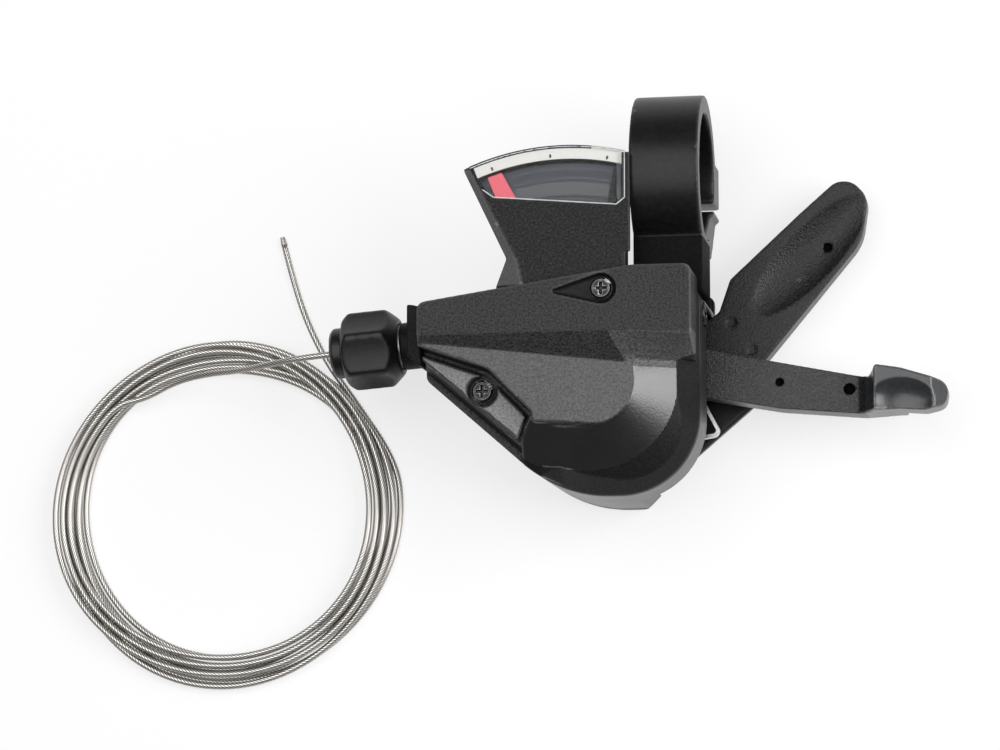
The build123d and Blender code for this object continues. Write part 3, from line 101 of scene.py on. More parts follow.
def finish(
    name, colour, rough, grain, depth, speckle=0.3, edge_highlight=None, metal=0.0, shine=0.5, fleck=0.0
):
    """A surface whose fine grain breaks up its shine, with a painted highlight that makes its
    sharp edges paler.
    """
    material = bpy.data.materials.new(name)
    material.use_nodes = True
    tree = material.node_tree
    make = tree.nodes.new
    join = tree.links.new
    shader = tree.nodes["Principled BSDF"]
    shader.inputs["Metallic"].default_value = metal
    shader.inputs["Specular IOR Level"].default_value = shine
    place = make("ShaderNodeTexCoord")
    pebble = make("ShaderNodeTexNoise")
    pebble.inputs["Scale"].default_value = 1.0 / grain
    pebble.inputs["Detail"].default_value = pebble_detail
    pebble.inputs["Roughness"].default_value = pebble_rough
    join(place.outputs["Object"], pebble.inputs["Vector"])
    bump = make("ShaderNodeBump")
    bump.inputs["Distance"].default_value = depth
    join(pebble.outputs["Fac"], bump.inputs["Height"])
    join(bump.outputs["Normal"], shader.inputs["Normal"])
    tone = make("ShaderNodeValToRGB")
    stops = tone.color_ramp.elements
    stops[0].position = dark_at
    stops[0].color = (*[channel * (1.0 - speckle) for channel in colour], 1.0)
    stops[1].position = pale_at
    stops[1].color = (*[channel * (1.0 + pale_gain * speckle) for channel in colour], 1.0)
    if fleck:
        flecked = stops.new(fleck_at)
        flecked.color = (*[channel + fleck for channel in colour], 1.0)
        stops[1].position = fleck_from
    join(pebble.outputs["Fac"], tone.inputs["Fac"])
    colour_out = tone.outputs["Color"]
    # Painted highlight: edges found by their pointiness are mixed towards a paler colour.
    if edge_highlight:
        shape = make("ShaderNodeNewGeometry")
        edge = make("ShaderNodeMapRange")
        edge.inputs["From Min"].default_value = highlight_from
        edge.inputs["From Max"].default_value = highlight_to
        join(shape.outputs["Pointiness"], edge.inputs["Value"])
        lightened = make("ShaderNodeMix")
        lightened.data_type = "RGBA"
        join(edge.outputs["Result"], lightened.inputs["Factor"])
        join(colour_out, lightened.inputs["A"])
        lightened.inputs["B"].default_value = (*edge_highlight, 1.0)
        colour_out = lightened.outputs["Result"]
    join(colour_out, shader.inputs["Base Color"])
    cloud = make("ShaderNodeTexNoise")
    cloud.inputs["Scale"].default_value = cloud_scale
    cloud.inputs["Detail"].default_value = cloud_detail
    join(place.outputs["Object"], cloud.inputs["Vector"])
    gloss = make("ShaderNodeMapRange")
    gloss.inputs["To Min"].default_value = rough - gloss_swing
    gloss.inputs["To Max"].default_value = rough + gloss_swing
    join(cloud.outputs["Fac"], gloss.inputs["Value"])
    join(gloss.outputs["Result"], shader.inputs["Roughness"])
    return material


def dress(piece, material):
    """Give one piece one material all over."""
    piece.data.materials.clear()
    piece.data.materials.append(material)


def dress_part(piece, material, belongs):
    """Give the faces of a piece that pass a test a material of their own."""
    piece.data.materials.append(material)
    index = len(piece.data.materials) - 1
    for face in piece.data.polygons:
        if belongs(face):
            face.material_index = index


bracket_paint = finish(
    "bracket_paint",
    paint_black,
    rough=0.36,
    grain=0.0009,
    depth=0.000010,
    edge_highlight=paint_edge_highlight,
    shine=0.3,
)
neck_paint = finish(
    "neck_paint", paint_black, rough=0.60, grain=0.0006, depth=0.000030, shine=0.05
)
bracket = softened("clamp_bracket", "housing", cell=0.00030, rounding=7)
dress(bracket, bracket_paint)
dress_part(
    bracket,
    neck_paint,
    lambda face: face.center.y < neck_from_y or face.center.x > ring_end_x,
)

# Base plate and its rivets: the floor of the body, with a wing under the levers.
# Stamped steel in the same black paint, held to the neck by two plain rivets.
plate = softened("base_plate", "housing", cell=0.00032, rounding=3)
dress(plate, bracket_paint)
bright_zinc = finish(
    "bright_zinc_plate",
    (0.62, 0.62, 0.60),
    rough=0.30,
    grain=0.0006,
    depth=0.000006,
    speckle=0.1,
    metal=1.0,
)
dress(nodes["bracket_rivets"], bright_zinc)

# Clamp bolt and nut: a socket cap screw through the lug, and a square nut in its pocket.
# The bolt is blackened in hot oil, the nut is zinc plated.
black_oxide = finish(
    "black_oxide_steel", (0.010, 0.010, 0.011), rough=0.32, grain=0.0004, depth=0.000008
)
bolt = softened("clamp_bolt", "housing", cell=0.00016, rounding=2)
dress(bolt, black_oxide)
dress(nodes["clamp_nut"], bright_zinc)

# Axle, spacer sleeve, washers and nut: the steel stack that the levers and the drum turn on.
# Turned from bar and zinc plated, riveted into the base plate below and held by the nut above.
# The hold pawl's pin and the needle's post are turned and plated in the same way.
for name in (
    "main_axle",
    "spacer_sleeve",
    "thrust_washers",
    "axle_nut",
    "hold_pawl_pin",
    "needle_post",
):
    dress(nodes[name], bright_zinc)

# Cable drum: the grooved pulley that winds the cable and carries the toothed wheel.
# The drum is turned from natural acetal, the wheel and the pawls are stamped from steel.
# The needle's drive pin, a pawl's pin and the cable's end have the same plated finish.
acetal = finish(
    "natural_acetal",
    (0.55, 0.54, 0.50),
    rough=0.42,
    grain=0.0008,
    depth=0.000006,
    speckle=0.05,
)
stamped_steel = finish(
    "stamped_plated_steel",
    (0.50, 0.50, 0.49),
    rough=0.36,
    grain=0.0007,
    depth=0.000010,
    speckle=0.1,
    metal=1.0,
)
dress(nodes["winder_drum"], acetal)
for name in (
    "ratchet_wheel",
    "needle_drive_pin",
    "cable_nipple",
    "hold_pawl",
    "drive_pawl",
    "drive_pawl_pin",
):
    dress(nodes[name], stamped_steel)

# Springs: torsion coils on the pins and the sleeve, a leaf for the trigger, one in the adjuster.
# Drawn steel wire and strip, left with its bright drawn skin.
spring_wire = finish(
    "drawn_spring_steel",
    (0.66, 0.66, 0.65),
    rough=0.34,
    grain=0.0003,
    depth=0.000004,
    speckle=0.1,
    metal=1.0,
)
for name in (
    "hold_pawl_spring",
    "lever_return_spring",
    "trigger_return_spring",
    "drive_pawl_spring",
    "adjuster_spring",
):
    dress(nodes[name], spring_wire)

# Lever plates: the flat steel roots of the two levers, stacked on the axle and its sleeve.
# Stamped and plated, and moulded into the levers' grips at their outer ends.
for name in ("thumb_lever_plate", "trigger_plate"):
    dress(nodes[name], stamped_steel)

# Thumb paddle: the long lever that winds the cable in, with a hollow for the thumb.
# Glass-filled nylon moulded over the steel plate, with a spark-eroded grain.
lever_black = (0.0060, 0.0060, 0.0065)
# A paler colour along the edges of the levers and the fan: a painted highlight.
lever_edge_highlight = (0.05, 0.05, 0.052)
paddle_hole = (0.0260, -0.0109, 0.00085)
hole_facing = -0.5
lever_nylon = finish(
    "lever_nylon",
    lever_black,
    rough=0.30,
    grain=0.00036,
    depth=0.00013,
    speckle=0.5,
    edge_highlight=lever_edge_highlight,
    shine=0.32,
    fleck=0.018,
)
hole_black = finish(
    "hole_black", (0.0025, 0.0025, 0.0027), rough=0.7, grain=0.0005, depth=0.00002, shine=0.02
)


def darken_holes(piece, holes, below_z):
    """Give the bottoms and walls of small round holes the black of their own shade."""

    def in_hole(face):
        return face.center.z < below_z and face.normal.z > hole_facing and any(
            (face.center.x - x) ** 2 + (face.center.y - y) ** 2 < reach * reach
            for x, y, reach in holes
        )

    dress_part(piece, hole_black, in_hole)


paddle = softened("thumb_paddle", "thumb_lever", cell=0.00028, rounding=4)
dress(paddle, lever_nylon)
darken_holes(paddle, [paddle_hole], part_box("thumb_paddle")[1].z)

# Release trigger: the short lever for the forefinger, which lets the cable out.
# The same grained nylon over its own plate, but its finger pad is polished smooth; the pad's
# paler grey is a painted sheen, with a brighter painted highlight along its edges.
pad_start_x = 0.0330
pad_edge_highlight = (0.14, 0.14, 0.14)
grip_holes = [(0.0179, -0.0360, 0.00075), (0.0301, -0.0375, 0.00102)]
grip_top_z = -0.0050
hole_lip = 0.0002
arm_nylon = finish(
    "arm_nylon",
    lever_black,
    rough=0.34,
    grain=0.00038,
    depth=0.00016,
    speckle=0.5,
    edge_highlight=lever_edge_highlight,
    shine=0.50,
    fleck=0.035,
)
# The pad's paler colour than the arm's is a painted sheen.
pad_polish_and_sheen = finish(
    "pad_polish_and_sheen",
    (0.021, 0.022, 0.0245),
    rough=0.30,
    grain=0.0009,
    depth=0.000012,
    speckle=0.2,
    edge_highlight=pad_edge_highlight,
    shine=0.7,
)
trigger = softened("trigger_grip", "release_trigger", cell=0.00025, rounding=4)
dress(trigger, arm_nylon)
dress_part(trigger, pad_polish_and_sheen, lambda face: face.center.x > pad_start_x)
darken_holes(trigger, grip_holes, grip_top_z - hole_lip)

# Lower housing: the moulded wall around the mechanism, with the adjuster's boss on its left.
# Smooth satin nylon, held between the base plate and the cover.
# A screw plug of the same nylon closes the hole through which a new cable is threaded.
housing_black = (0.0070, 0.0070, 0.0074)
boss_to_x = -0.0418
housing_nylon = finish(
    "housing_nylon",
    housing_black,
    rough=0.34,
    grain=0.0006,
    depth=0.000014,
    speckle=0.2,
    shine=0.65,
)
boss_nylon = finish(
    "boss_nylon",
    housing_black,
    rough=0.50,
    grain=0.0005,
    depth=0.000060,
    speckle=0.4,
    shine=0.1,
)
lower = softened("lower_housing", "housing", cell=0.00036, rounding=2)
dress(lower, housing_nylon)
dress_part(lower, boss_nylon, lambda face: face.center.x < boss_to_x)
plug = softened("cable_port_plug", "housing", cell=0.00012, rounding=2)
dress(plug, housing_nylon)

# Top cover: the faceted lid, with a raised plateau, a lower screw plate and a cone on the drum.
# Moulded nylon, etched to a pebbled grey on the plateau and the plate.
# It closes the lower housing and is fixed to it by two screws.
cover_black = (0.013, 0.013, 0.014)
plateau_grey = (0.092, 0.092, 0.092)
plate_grey = (0.200, 0.199, 0.197)
# A paler colour along the edges of the cover, its right shoulder and the fan's rib: a painted
# highlight.
nylon_edge_highlight = (0.10, 0.10, 0.10)
crease_at_y = -0.0296
plateau_z = (0.0154, 0.0184)
plate_z = (0.0134, 0.0146)
steep_top_z = 0.0121
steep_slope = 0.9
level_slope = 0.95
shoulder_x = -0.0092
shoulder_lean = 0.54
shoulder_from_y = -0.0356
cone_from_x = -0.0245
cone_to_y = -0.0352
cone_top_z = 0.0163
recess_low = (-0.0196, -0.0256, 0.0172)
recess_high = (-0.0070, -0.0193, 0.01865)
etch_grain = 0.00036
etch_dark, etch_pale = 0.74, 1.30
etch_dark_at, etch_pale_at = 0.36, 0.66
etch_level_from, etch_level_at = 0.95, 0.985
height_blend = 0.0002
crease_blend = 0.0001
# A filling at the left end of the steep edge. It closes a slit in the wall of the solid there,
# and lets the edge run out into the skirt.
edge_end = [
    (-0.02195, -0.05335, 0.0070),
    (-0.02195, -0.05335, 0.0110),
    (-0.02195, -0.05190, 0.0120),
    (-0.02195, -0.05080, 0.0115),
    (-0.02195, -0.05200, 0.0070),
    (-0.01800, -0.05510, 0.0071),
    (-0.01800, -0.05160, 0.0120),
    (-0.01800, -0.05060, 0.0110),
    (-0.01800, -0.05390, 0.0071),
]


def grey_where(material, grey, low_z, high_z, behind_y):
    """Mix a paler etched grey into a surface's colour where it lies level at some height."""
    tree = material.node_tree
    make = tree.nodes.new
    join = tree.links.new
    colour_in = tree.nodes["Principled BSDF"].inputs["Base Color"]
    before = colour_in.links[0].from_socket
    place = make("ShaderNodeTexCoord")
    spot = make("ShaderNodeSeparateXYZ")
    join(place.outputs["Object"], spot.inputs["Vector"])
    facing = make("ShaderNodeNewGeometry")
    lean = make("ShaderNodeSeparateXYZ")
    join(facing.outputs["Normal"], lean.inputs["Vector"])
    tests = [
        (lean.outputs["Z"], etch_level_from, etch_level_at),
        (spot.outputs["Z"], low_z, low_z + height_blend),
        (spot.outputs["Z"], high_z + height_blend, high_z),
        (spot.outputs["Y"], behind_y + crease_blend, behind_y - crease_blend),
    ]
    mask = None
    for value, nothing_at, all_at in tests:
        step = make("ShaderNodeMapRange")
        step.inputs["From Min"].default_value = nothing_at
        step.inputs["From Max"].default_value = all_at
        join(value, step.inputs["Value"])
        if mask is None:
            mask = step.outputs["Result"]
        else:
            both = make("ShaderNodeMath")
            both.operation = "MULTIPLY"
            join(mask, both.inputs[0])
            join(step.outputs["Result"], both.inputs[1])
            mask = both.outputs["Value"]
    etched = make("ShaderNodeTexNoise")
    etched.inputs["Scale"].default_value = 1.0 / etch_grain
    etched.inputs["Detail"].default_value = pebble_detail
    join(place.outputs["Object"], etched.inputs["Vector"])
    etch_tone = make("ShaderNodeValToRGB")
    stops = etch_tone.color_ramp.elements
    stops[0].position = etch_dark_at
    stops[0].color = (*[channel * etch_dark for channel in grey], 1.0)
    stops[1].position = etch_pale_at
    stops[1].color = (*[channel * etch_pale for channel in grey], 1.0)
    join(etched.outputs["Fac"], etch_tone.inputs["Fac"])
    mix = make("ShaderNodeMix")
    mix.data_type = "RGBA"
    join(mask, mix.inputs["Factor"])
    join(before, mix.inputs["A"])
    join(etch_tone.outputs["Color"], mix.inputs["B"])
    join(mix.outputs["Result"], colour_in)


cover_nylon = finish(
    "cover_nylon",
    cover_black,
    rough=0.38,
    grain=0.00038,
    depth=0.00016,
    speckle=0.5,
    edge_highlight=nylon_edge_highlight,
    shine=0.25,
    fleck=0.028,
)
grey_where(cover_nylon, plateau_grey, *plateau_z, crease_at_y)
grey_where(cover_nylon, plate_grey, *plate_z, crease_at_y)
# The cone's faces get a darker colour, a painted shade, under a high shine that catches the right
# lamp.
cone_painted_shade = finish(
    "cone_painted_shade",
    (0.0030, 0.0030, 0.0034),
    rough=0.31,
    grain=0.00040,
    depth=0.000026,
    speckle=0.4,
    shine=1.0,
)
# The cover's steep side walls and the teardrop recess get a darker, duller copy of the nylon:
# painted shade.
steep_painted_shade = finish(
    "steep_painted_shade",
    (0.0080, 0.0080, 0.0088),
    rough=0.45,
    grain=0.00042,
    depth=0.00004,
    speckle=0.4,
    shine=0.15,
)
# The sloping faces on the cover's right get a paler copy of the nylon: a painted highlight.
shoulder_painted_highlight = finish(
    "shoulder_painted_highlight",
    (0.050, 0.050, 0.051),
    rough=0.40,
    grain=0.00048,
    depth=0.00016,
    speckle=0.4,
    edge_highlight=nylon_edge_highlight,
    shine=0.5,
)


def cover_area(face):
    """Which of the cover's areas a face lies in, for its painted shade or highlight, or None for
    its main grain.
    """
    spot = face.center
    slope = face.normal.z
    in_recess = all(
        low < value < high for low, value, high in zip(recess_low, spot, recess_high)
    )
    if in_recess or (spot.z < steep_top_z and slope < steep_slope):
        return "steep"
    if spot.z > steep_top_z and slope < level_slope and spot.y < crease_at_y:
        shoulder_edge = shoulder_x + shoulder_lean * (crease_at_y - spot.y)
        if spot.x > shoulder_edge and spot.y > shoulder_from_y:
            return "shoulder"
        if spot.x > cone_from_x and spot.y < cone_to_y and spot.z < cone_top_z:
            return "cone"
    return None


cover = softened(
    "top_cover", "housing", cell=0.00027, rounding=5, fillings=[edge_end]
)
dress(cover, cover_nylon)
dress_part(cover, cone_painted_shade, lambda face: cover_area(face) == "cone")
dress_part(cover, steep_painted_shade, lambda face: cover_area(face) == "steep")
dress_part(cover, shoulder_painted_highlight, lambda face: cover_area(face) == "shoulder")

# Cover screws: two small cross-head screws, one in the plateau's recess and one in the plate.
# Steel, blackened, with a painted highlight that makes the edges of the cross pale. Driven into
# the housing.
screw_glint = (0.55, 0.55, 0.55)
screws = softened("cover_screws", "housing", cell=0.00011, rounding=2)
screw_steel = finish(
    "black_screw_steel",
    (0.006, 0.006, 0.007),
    rough=0.18,
    grain=0.0007,
    depth=0.00010,
    speckle=0.3,
    edge_highlight=screw_glint,
    shine=0.25,
)
dress(screws, screw_steel)

# Display housing: the fan that rides above the bar and carries the gear display.
# Grained nylon, moulded with a low rib along its left edge and foot, and a lip on its right.
# A tongue at its foot goes under the cover, where the upper cover screw passes through it.
rib_z = (0.0150, 0.0161)
rib_line = [
    (-0.03450, -0.00070),
    (-0.03335, -0.00070),
    (-0.02540, -0.01630),
    (-0.02705, -0.01630),
]
foot_line = [
    (-0.02700, -0.01630),
    (-0.02540, -0.01630),
    (-0.02430, -0.02110),
    (-0.02880, -0.02110),
]
lip_x = (-0.0070, -0.0056)
lip_y = (-0.0155, 0.0018)
lip_z = (0.01455, 0.01555)
rib_from_z = 0.01568
rib_to_x = -0.0215
left_rib = [(x, y, z) for x, y in rib_line for z in rib_z]
left_foot = [(x, y, z) for x, y in foot_line for z in rib_z]
right_lip = [(x, y, z) for x in lip_x for y in lip_y for z in lip_z]
fan_nylon = finish(
    "fan_nylon",
    (0.0060, 0.0060, 0.0066),
    rough=0.40,
    grain=0.00038,
    depth=0.00018,
    speckle=0.5,
    edge_highlight=lever_edge_highlight,
    shine=0.2,
    fleck=0.026,
)
# The top of the left rib and foot is painted paler: a painted highlight.
rib_painted_highlight = finish(
    "rib_painted_highlight",
    (0.022, 0.022, 0.023),
    rough=0.42,
    grain=0.0005,
    depth=0.00008,
    speckle=0.4,
    edge_highlight=nylon_edge_highlight,
    shine=0.45,
)
fan = softened(
    "display_housing",
    "housing",
    cell=0.00025,
    rounding=2,
    fillings=[left_rib, left_foot, right_lip],
)
dress(fan, fan_nylon)
dress_part(
    fan, rib_painted_highlight, lambda face: face.center.z > rib_from_z and face.center.x < rib_to_x
)

# Scale strip and needle: the pale arc along the top of the fan, and the red flag that sweeps it.
# The strip is printed cream and lies on a ledge in the fan, under the pane.
# The needle is moulded in red and swings on its own post.
cream_print = finish(
    "cream_print",
    (0.78, 0.77, 0.735),
    rough=0.55,
    grain=0.0020,
    depth=0.000001,
    speckle=0.01,
)
dress(nodes["scale_strip"], cream_print)
needle_red = finish(
    "needle_red",
    (0.84, 0.112, 0.155),
    rough=0.45,
    grain=0.0009,
    depth=0.000004,
    speckle=0.04,
)
dress(nodes["indicator_needle"], needle_red)

# Display card: the dark arc behind the needle, with plain bands along it.
# Thin card printed in dark inks, deep in the fan.
# The prints of the card and the strip go on over the fan's ledge at the right end.
pivot = Vector((-0.017063, -0.040248, 0.0))
card_z = 0.01262
card_thick = 0.00004
card_inner, card_outer = 0.0320, 0.0412
card_from, card_to = 78.2, 111.4
card_steps = 24
band_inner = 0.0338
print_bands = [
    (0.00, (0.016, 0.018, 0.024)),
    (0.10, (0.055, 0.059, 0.066)),
    (0.14, (0.017, 0.019, 0.026)),
    (0.22, (0.070, 0.075, 0.084)),
    (0.52, (0.020, 0.024, 0.038)),
    (0.60, (0.050, 0.056, 0.074)),
    (0.64, (0.018, 0.022, 0.036)),
    (0.82, (0.044, 0.051, 0.070)),
    (0.86, (0.024, 0.030, 0.046)),
]
ledge_z = (0.0141, 0.0149)
ledge_from_x = -0.0125
ledge_to_x = -0.0064
card_ledge_slope = 0.8
strip_ledge_slope = 0.1
strip_from = 0.0414


def spoke(angle):
    """The direction from the needle's post at an angle in degrees."""
    return Vector((cos(radians(angle)), sin(radians(angle)), 0.0))


def reach_of(spot):
    """How far a spot lies from the needle's post, seen from above."""
    return (Vector((spot.x, spot.y, 0.0)) - pivot).length


card_shape = bmesh.new()
card_ends = [
    card_shape.verts.new(pivot + reach * spoke(card_from) + Vector((0.0, 0.0, card_z)))
    for reach in (card_inner, card_outer)
]
card_edge = card_shape.edges.new(card_ends)
bmesh.ops.spin(
    card_shape,
    geom=[*card_ends, card_edge],
    cent=pivot,
    axis=(0.0, 0.0, 1.0),
    angle=radians(card_to - card_from),
    steps=card_steps,
)
bmesh.ops.recalc_face_normals(card_shape, faces=card_shape.faces)
bmesh.ops.solidify(card_shape, geom=card_shape.faces, thickness=card_thick)
card = placed("display_card", card_shape)
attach(card, "housing")
card_print = finish(
    "card_print", (0.05, 0.05, 0.06), rough=0.5, grain=0.0009, depth=0.000004, speckle=0.1
)
ink = card_print.node_tree
where = ink.nodes.new("ShaderNodeTexCoord")
centred = ink.nodes.new("ShaderNodeMapping")
centred.inputs["Location"].default_value = -pivot
centred.inputs["Scale"].default_value = (1.0, 1.0, 0.0)
ink.links.new(where.outputs["Object"], centred.inputs["Vector"])
radius_out = ink.nodes.new("ShaderNodeVectorMath")
radius_out.operation = "LENGTH"
ink.links.new(centred.outputs["Vector"], radius_out.inputs[0])
share = ink.nodes.new("ShaderNodeMapRange")
share.inputs["From Min"].default_value = band_inner
share.inputs["From Max"].default_value = card_outer
ink.links.new(radius_out.outputs["Value"], share.inputs["Value"])
bands = ink.nodes.new("ShaderNodeValToRGB")
bands.color_ramp.interpolation = "CONSTANT"
band_stops = bands.color_ramp.elements
band_stops.remove(band_stops[1])
for order, (start, shade) in enumerate(print_bands):
    stop = band_stops[0] if order == 0 else band_stops.new(start)
    stop.color = (*shade, 1.0)
ink.links.new(share.outputs["Result"], bands.inputs["Fac"])
ink.links.new(bands.outputs["Color"], ink.nodes["Principled BSDF"].inputs["Base Color"])
dress(card, card_print)


def on_ledge(face):
    """Whether a face of the fan belongs to the ledge at the display's right end."""
    spot = face.center
    return ledge_z[0] < spot.z < ledge_z[1] and ledge_from_x < spot.x < ledge_to_x


dress_part(
    fan,
    card_print,
    lambda face: on_ledge(face)
    and reach_of(face.center) <= strip_from
    and face.normal.z > card_ledge_slope,
)
dress_part(
    fan,
    cream_print,
    lambda face: on_ledge(face)
    and reach_of(face.center) > strip_from
    and face.normal.z > strip_ledge_slope,
)

# Scale ticks: three short dark marks across the strip.
# Printed ink, raised a few hundredths of a millimetre above the strip.
strip_top_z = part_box("scale_strip")[1].z
tick_reach = 0.0420
tick_angles = [107.6, 93.4, 79.8]
tick_size = Vector((0.00062, 0.00034, 0.00003))
tick_shape = bmesh.new()
for angle in tick_angles:
    spot = pivot + tick_reach * spoke(angle)
    spot.z = strip_top_z + tick_size.z / 2
    turn = Matrix.Rotation(radians(angle), 4, "Z")
    tick_place = Matrix.Translation(spot) @ turn @ Matrix.Diagonal((*tick_size, 1.0))
    bmesh.ops.create_cube(tick_shape, size=1.0, matrix=tick_place)
ticks = placed("scale_ticks", tick_shape)
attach(ticks, "housing")
tick_ink = finish(
    "tick_ink", (0.012, 0.012, 0.013), rough=0.6, grain=0.0003, depth=0.000002
)
dress(ticks, tick_ink)

# Display pane: the clear window over the strip, the card and the needle.
# Moulded acrylic, let into the top of the fan, with a pale opaque band along its inner rim that
# is a painted highlight.
pane_clear = (0.993, 0.996, 0.996, 1.0)
pane_rough = 0.06
pane_ior = 1.20
pane_rim = 0.00020
pane_lift = 0.00006
rim_reach = 0.0405
flat_within = 1.0
facing_up = 0.99
acrylic = bpy.data.materials.new("clear_acrylic")
acrylic.use_nodes = True
pane_tree = acrylic.node_tree
clear = pane_tree.nodes.new("ShaderNodeBsdfTransparent")
clear.inputs["Color"].default_value = pane_clear
gleam = pane_tree.nodes.new("ShaderNodeBsdfGlossy")
gleam.inputs["Roughness"].default_value = pane_rough
edge_on = pane_tree.nodes.new("ShaderNodeFresnel")
edge_on.inputs["IOR"].default_value = pane_ior
mixed = pane_tree.nodes.new("ShaderNodeMixShader")
pane_tree.links.new(edge_on.outputs["Fac"], mixed.inputs["Fac"])
pane_tree.links.new(clear.outputs["BSDF"], mixed.inputs[1])
pane_tree.links.new(gleam.outputs["BSDF"], mixed.inputs[2])
pane_tree.links.new(mixed.outputs["Shader"], pane_tree.nodes["Material Output"].inputs["Surface"])
pane_tree.nodes.remove(pane_tree.nodes["Principled BSDF"])
pane_shape = bmesh.new()
pane_shape.from_mesh(nodes["display_window"].data)
bmesh.ops.remove_doubles(pane_shape, verts=pane_shape.verts, dist=weld_gap)
for corner in pane_shape.verts:
    if corner.co.z < strip_top_z + pane_lift:
        corner.co.z += pane_lift
bmesh.ops.dissolve_limit(
    pane_shape,
    angle_limit=radians(flat_within),
    verts=pane_shape.verts,
    edges=pane_shape.edges,
)
pane_shape.normal_update()
pane_top = max(
    (face for face in pane_shape.faces if face.normal.z > facing_up),
    key=lambda face: face.calc_area(),
)
# The faces of the inner rim get a pale opaque grey, a painted highlight.
rim = bmesh.ops.inset_region(pane_shape, faces=[pane_top], thickness=pane_rim, depth=0.0)
for face in rim["faces"]:
    if reach_of(face.calc_center_median()) < rim_reach:
        face.material_index = 1
display_pane = placed("display_pane", pane_shape)
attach(display_pane, "housing")
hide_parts("display_window")
# Painted highlight: an opaque pale grey for the pane's inner rim.
pane_rim_highlight = finish(
    "painted_pane_rim_highlight",
    (0.50, 0.51, 0.52),
    rough=0.35,
    grain=0.0009,
    depth=0.000004,
    speckle=0.1,
)
display_pane.data.materials.append(acrylic)
display_pane.data.materials.append(pane_rim_highlight)

# Adjuster: the six-sided knob and the barrel that set the cable's tension.
# Smooth black acetal. The knob is turned by hand, and the barrel slides in the housing's boss.
adjuster_acetal = finish(
    "adjuster_acetal",
    (0.0065, 0.0065, 0.0070),
    rough=0.36,
    grain=0.0008,
    depth=0.000020,
    speckle=0.3,
    shine=0.35,
)
knob = softened("adjuster_knob", "knob", cell=0.00020, rounding=26)
dress(knob, adjuster_acetal)
barrel = softened("adjuster_barrel", "barrel", cell=0.00018, rounding=3)
dress(barrel, adjuster_acetal)

# Shift cable: the inner wire that comes out of the adjuster and lies coiled beside the shifter.
# Stainless strands laid up in a spiral, 1.2 mm thick, with a welded tip at its far end.
# Its ten turns lie in three layers, and each turn steps across and down to the next.
cable_d = 0.0012
floor_z = -0.019
cable_out = [
    (-0.06124, -0.02966, -0.0010),
    (-0.06722, -0.03015, -0.0010),
    (-0.0740, -0.0309, -0.0036),
    (-0.0804, -0.0312, -0.0080),
    (-0.0870, -0.0310, -0.0120),
    (-0.0940, -0.0319, -0.0148),
    (-0.1002, -0.0349, -0.0159),
]
cable_end = [
    (-0.0620, -0.0346, -0.0184),
    (-0.0662, -0.0289, -0.0184),
    (-0.0698, -0.0220, -0.0184),
    (-0.0726, -0.0143, -0.0184),
    (-0.0746, -0.0066, -0.0184),
]
full_turn = 360.0
coil_x, coil_y = -0.0845, -0.0559
coil_r = 0.0295
coil_oval = 0.0003
first_angle = 136.0
last_angle = 10 * full_turn + 28.0
steps_per_turn = 24
layer_of_turn = [2, 2, 2, 1, 1, 1, 0, 0, 0, 0, 0]
layer_height = [0.0006, 0.00188, 0.00314]
turn_offset = [
    -0.0013,
    0.0,
    0.00132,
    0.00138,
    0.00006,
    -0.00126,
    -0.00188,
    -0.0006,
    0.00068,
    0.00194,
    0.00194,
]
layer_sway = [(0.0004, 0.4, 0.0003), (0.0010, 3.4, 0.0004), (0.0013, 5.1, 0.0004)]
across_from, across_share = 0.74, 0.18
down_from, down_share = 0.86, 0.14
spread_mean, spread_swing = 1.06, 0.12
loosest_at = 280.0


def ease(value):
    """A smooth step from 0 to 1."""
    value = min(max(value, 0.0), 1.0)
    return value * value * (3.0 - 2.0 * value)


def sway(layer, turn):
    """How far one layer of turns strays from the round at an angle."""
    wide, phase, fine = layer_sway[layer]
    return wide * sin(turn + phase) + fine * sin(3.0 * turn + 2.0 * phase)


route = [Vector(point) for point in cable_out]
steps = int((last_angle - first_angle) / full_turn * steps_per_turn)
for step in range(steps + 1):
    degrees = first_angle + step * full_turn / steps_per_turn
    wound = (degrees - first_angle) / full_turn
    turn = int(wound)
    following = min(turn + 1, len(turn_offset) - 1)
    angle = radians(degrees)
    across = ease((wound - turn - across_from) / across_share)
    down = ease((wound - turn - down_from) / down_share)
    offset = turn_offset[turn] * (1.0 - across) + turn_offset[following] * across
    layer, next_layer = layer_of_turn[turn], layer_of_turn[following]
    stray = sway(layer, angle) * (1.0 - down) + sway(next_layer, angle) * down
    height = layer_height[layer] * (1.0 - down) + layer_height[next_layer] * down
    spread = spread_mean + spread_swing * cos(angle - radians(loosest_at))
    radius = coil_r + coil_oval * cos(2.0 * angle) + spread * offset + stray
    x = coil_x + radius * cos(angle)
    y = coil_y + radius * sin(angle)
    route.append(Vector((x, y, floor_z + height)))
route += [Vector(point) for point in cable_end]

curve_steps = 20
curve_order = 3
cable_line = bpy.data.curves.new("cable_line", "CURVE")
cable_line.dimensions = "3D"
cable_line.resolution_u = curve_steps
spline = cable_line.splines.new("NURBS")
spline.points.add(len(route) - 1)
for point, place in zip(spline.points, route):
    point.co = (*place, 1.0)
spline.order_u = curve_order
spline.use_endpoint_u = True
line_holder = bpy.data.objects.new("cable_line", cable_line)
line_mesh = bpy.data.meshes.new_from_object(line_holder)
path = [vertex.co.copy() for vertex in line_mesh.vertices]
bpy.data.objects.remove(line_holder)
bpy.data.meshes.remove(line_mesh)

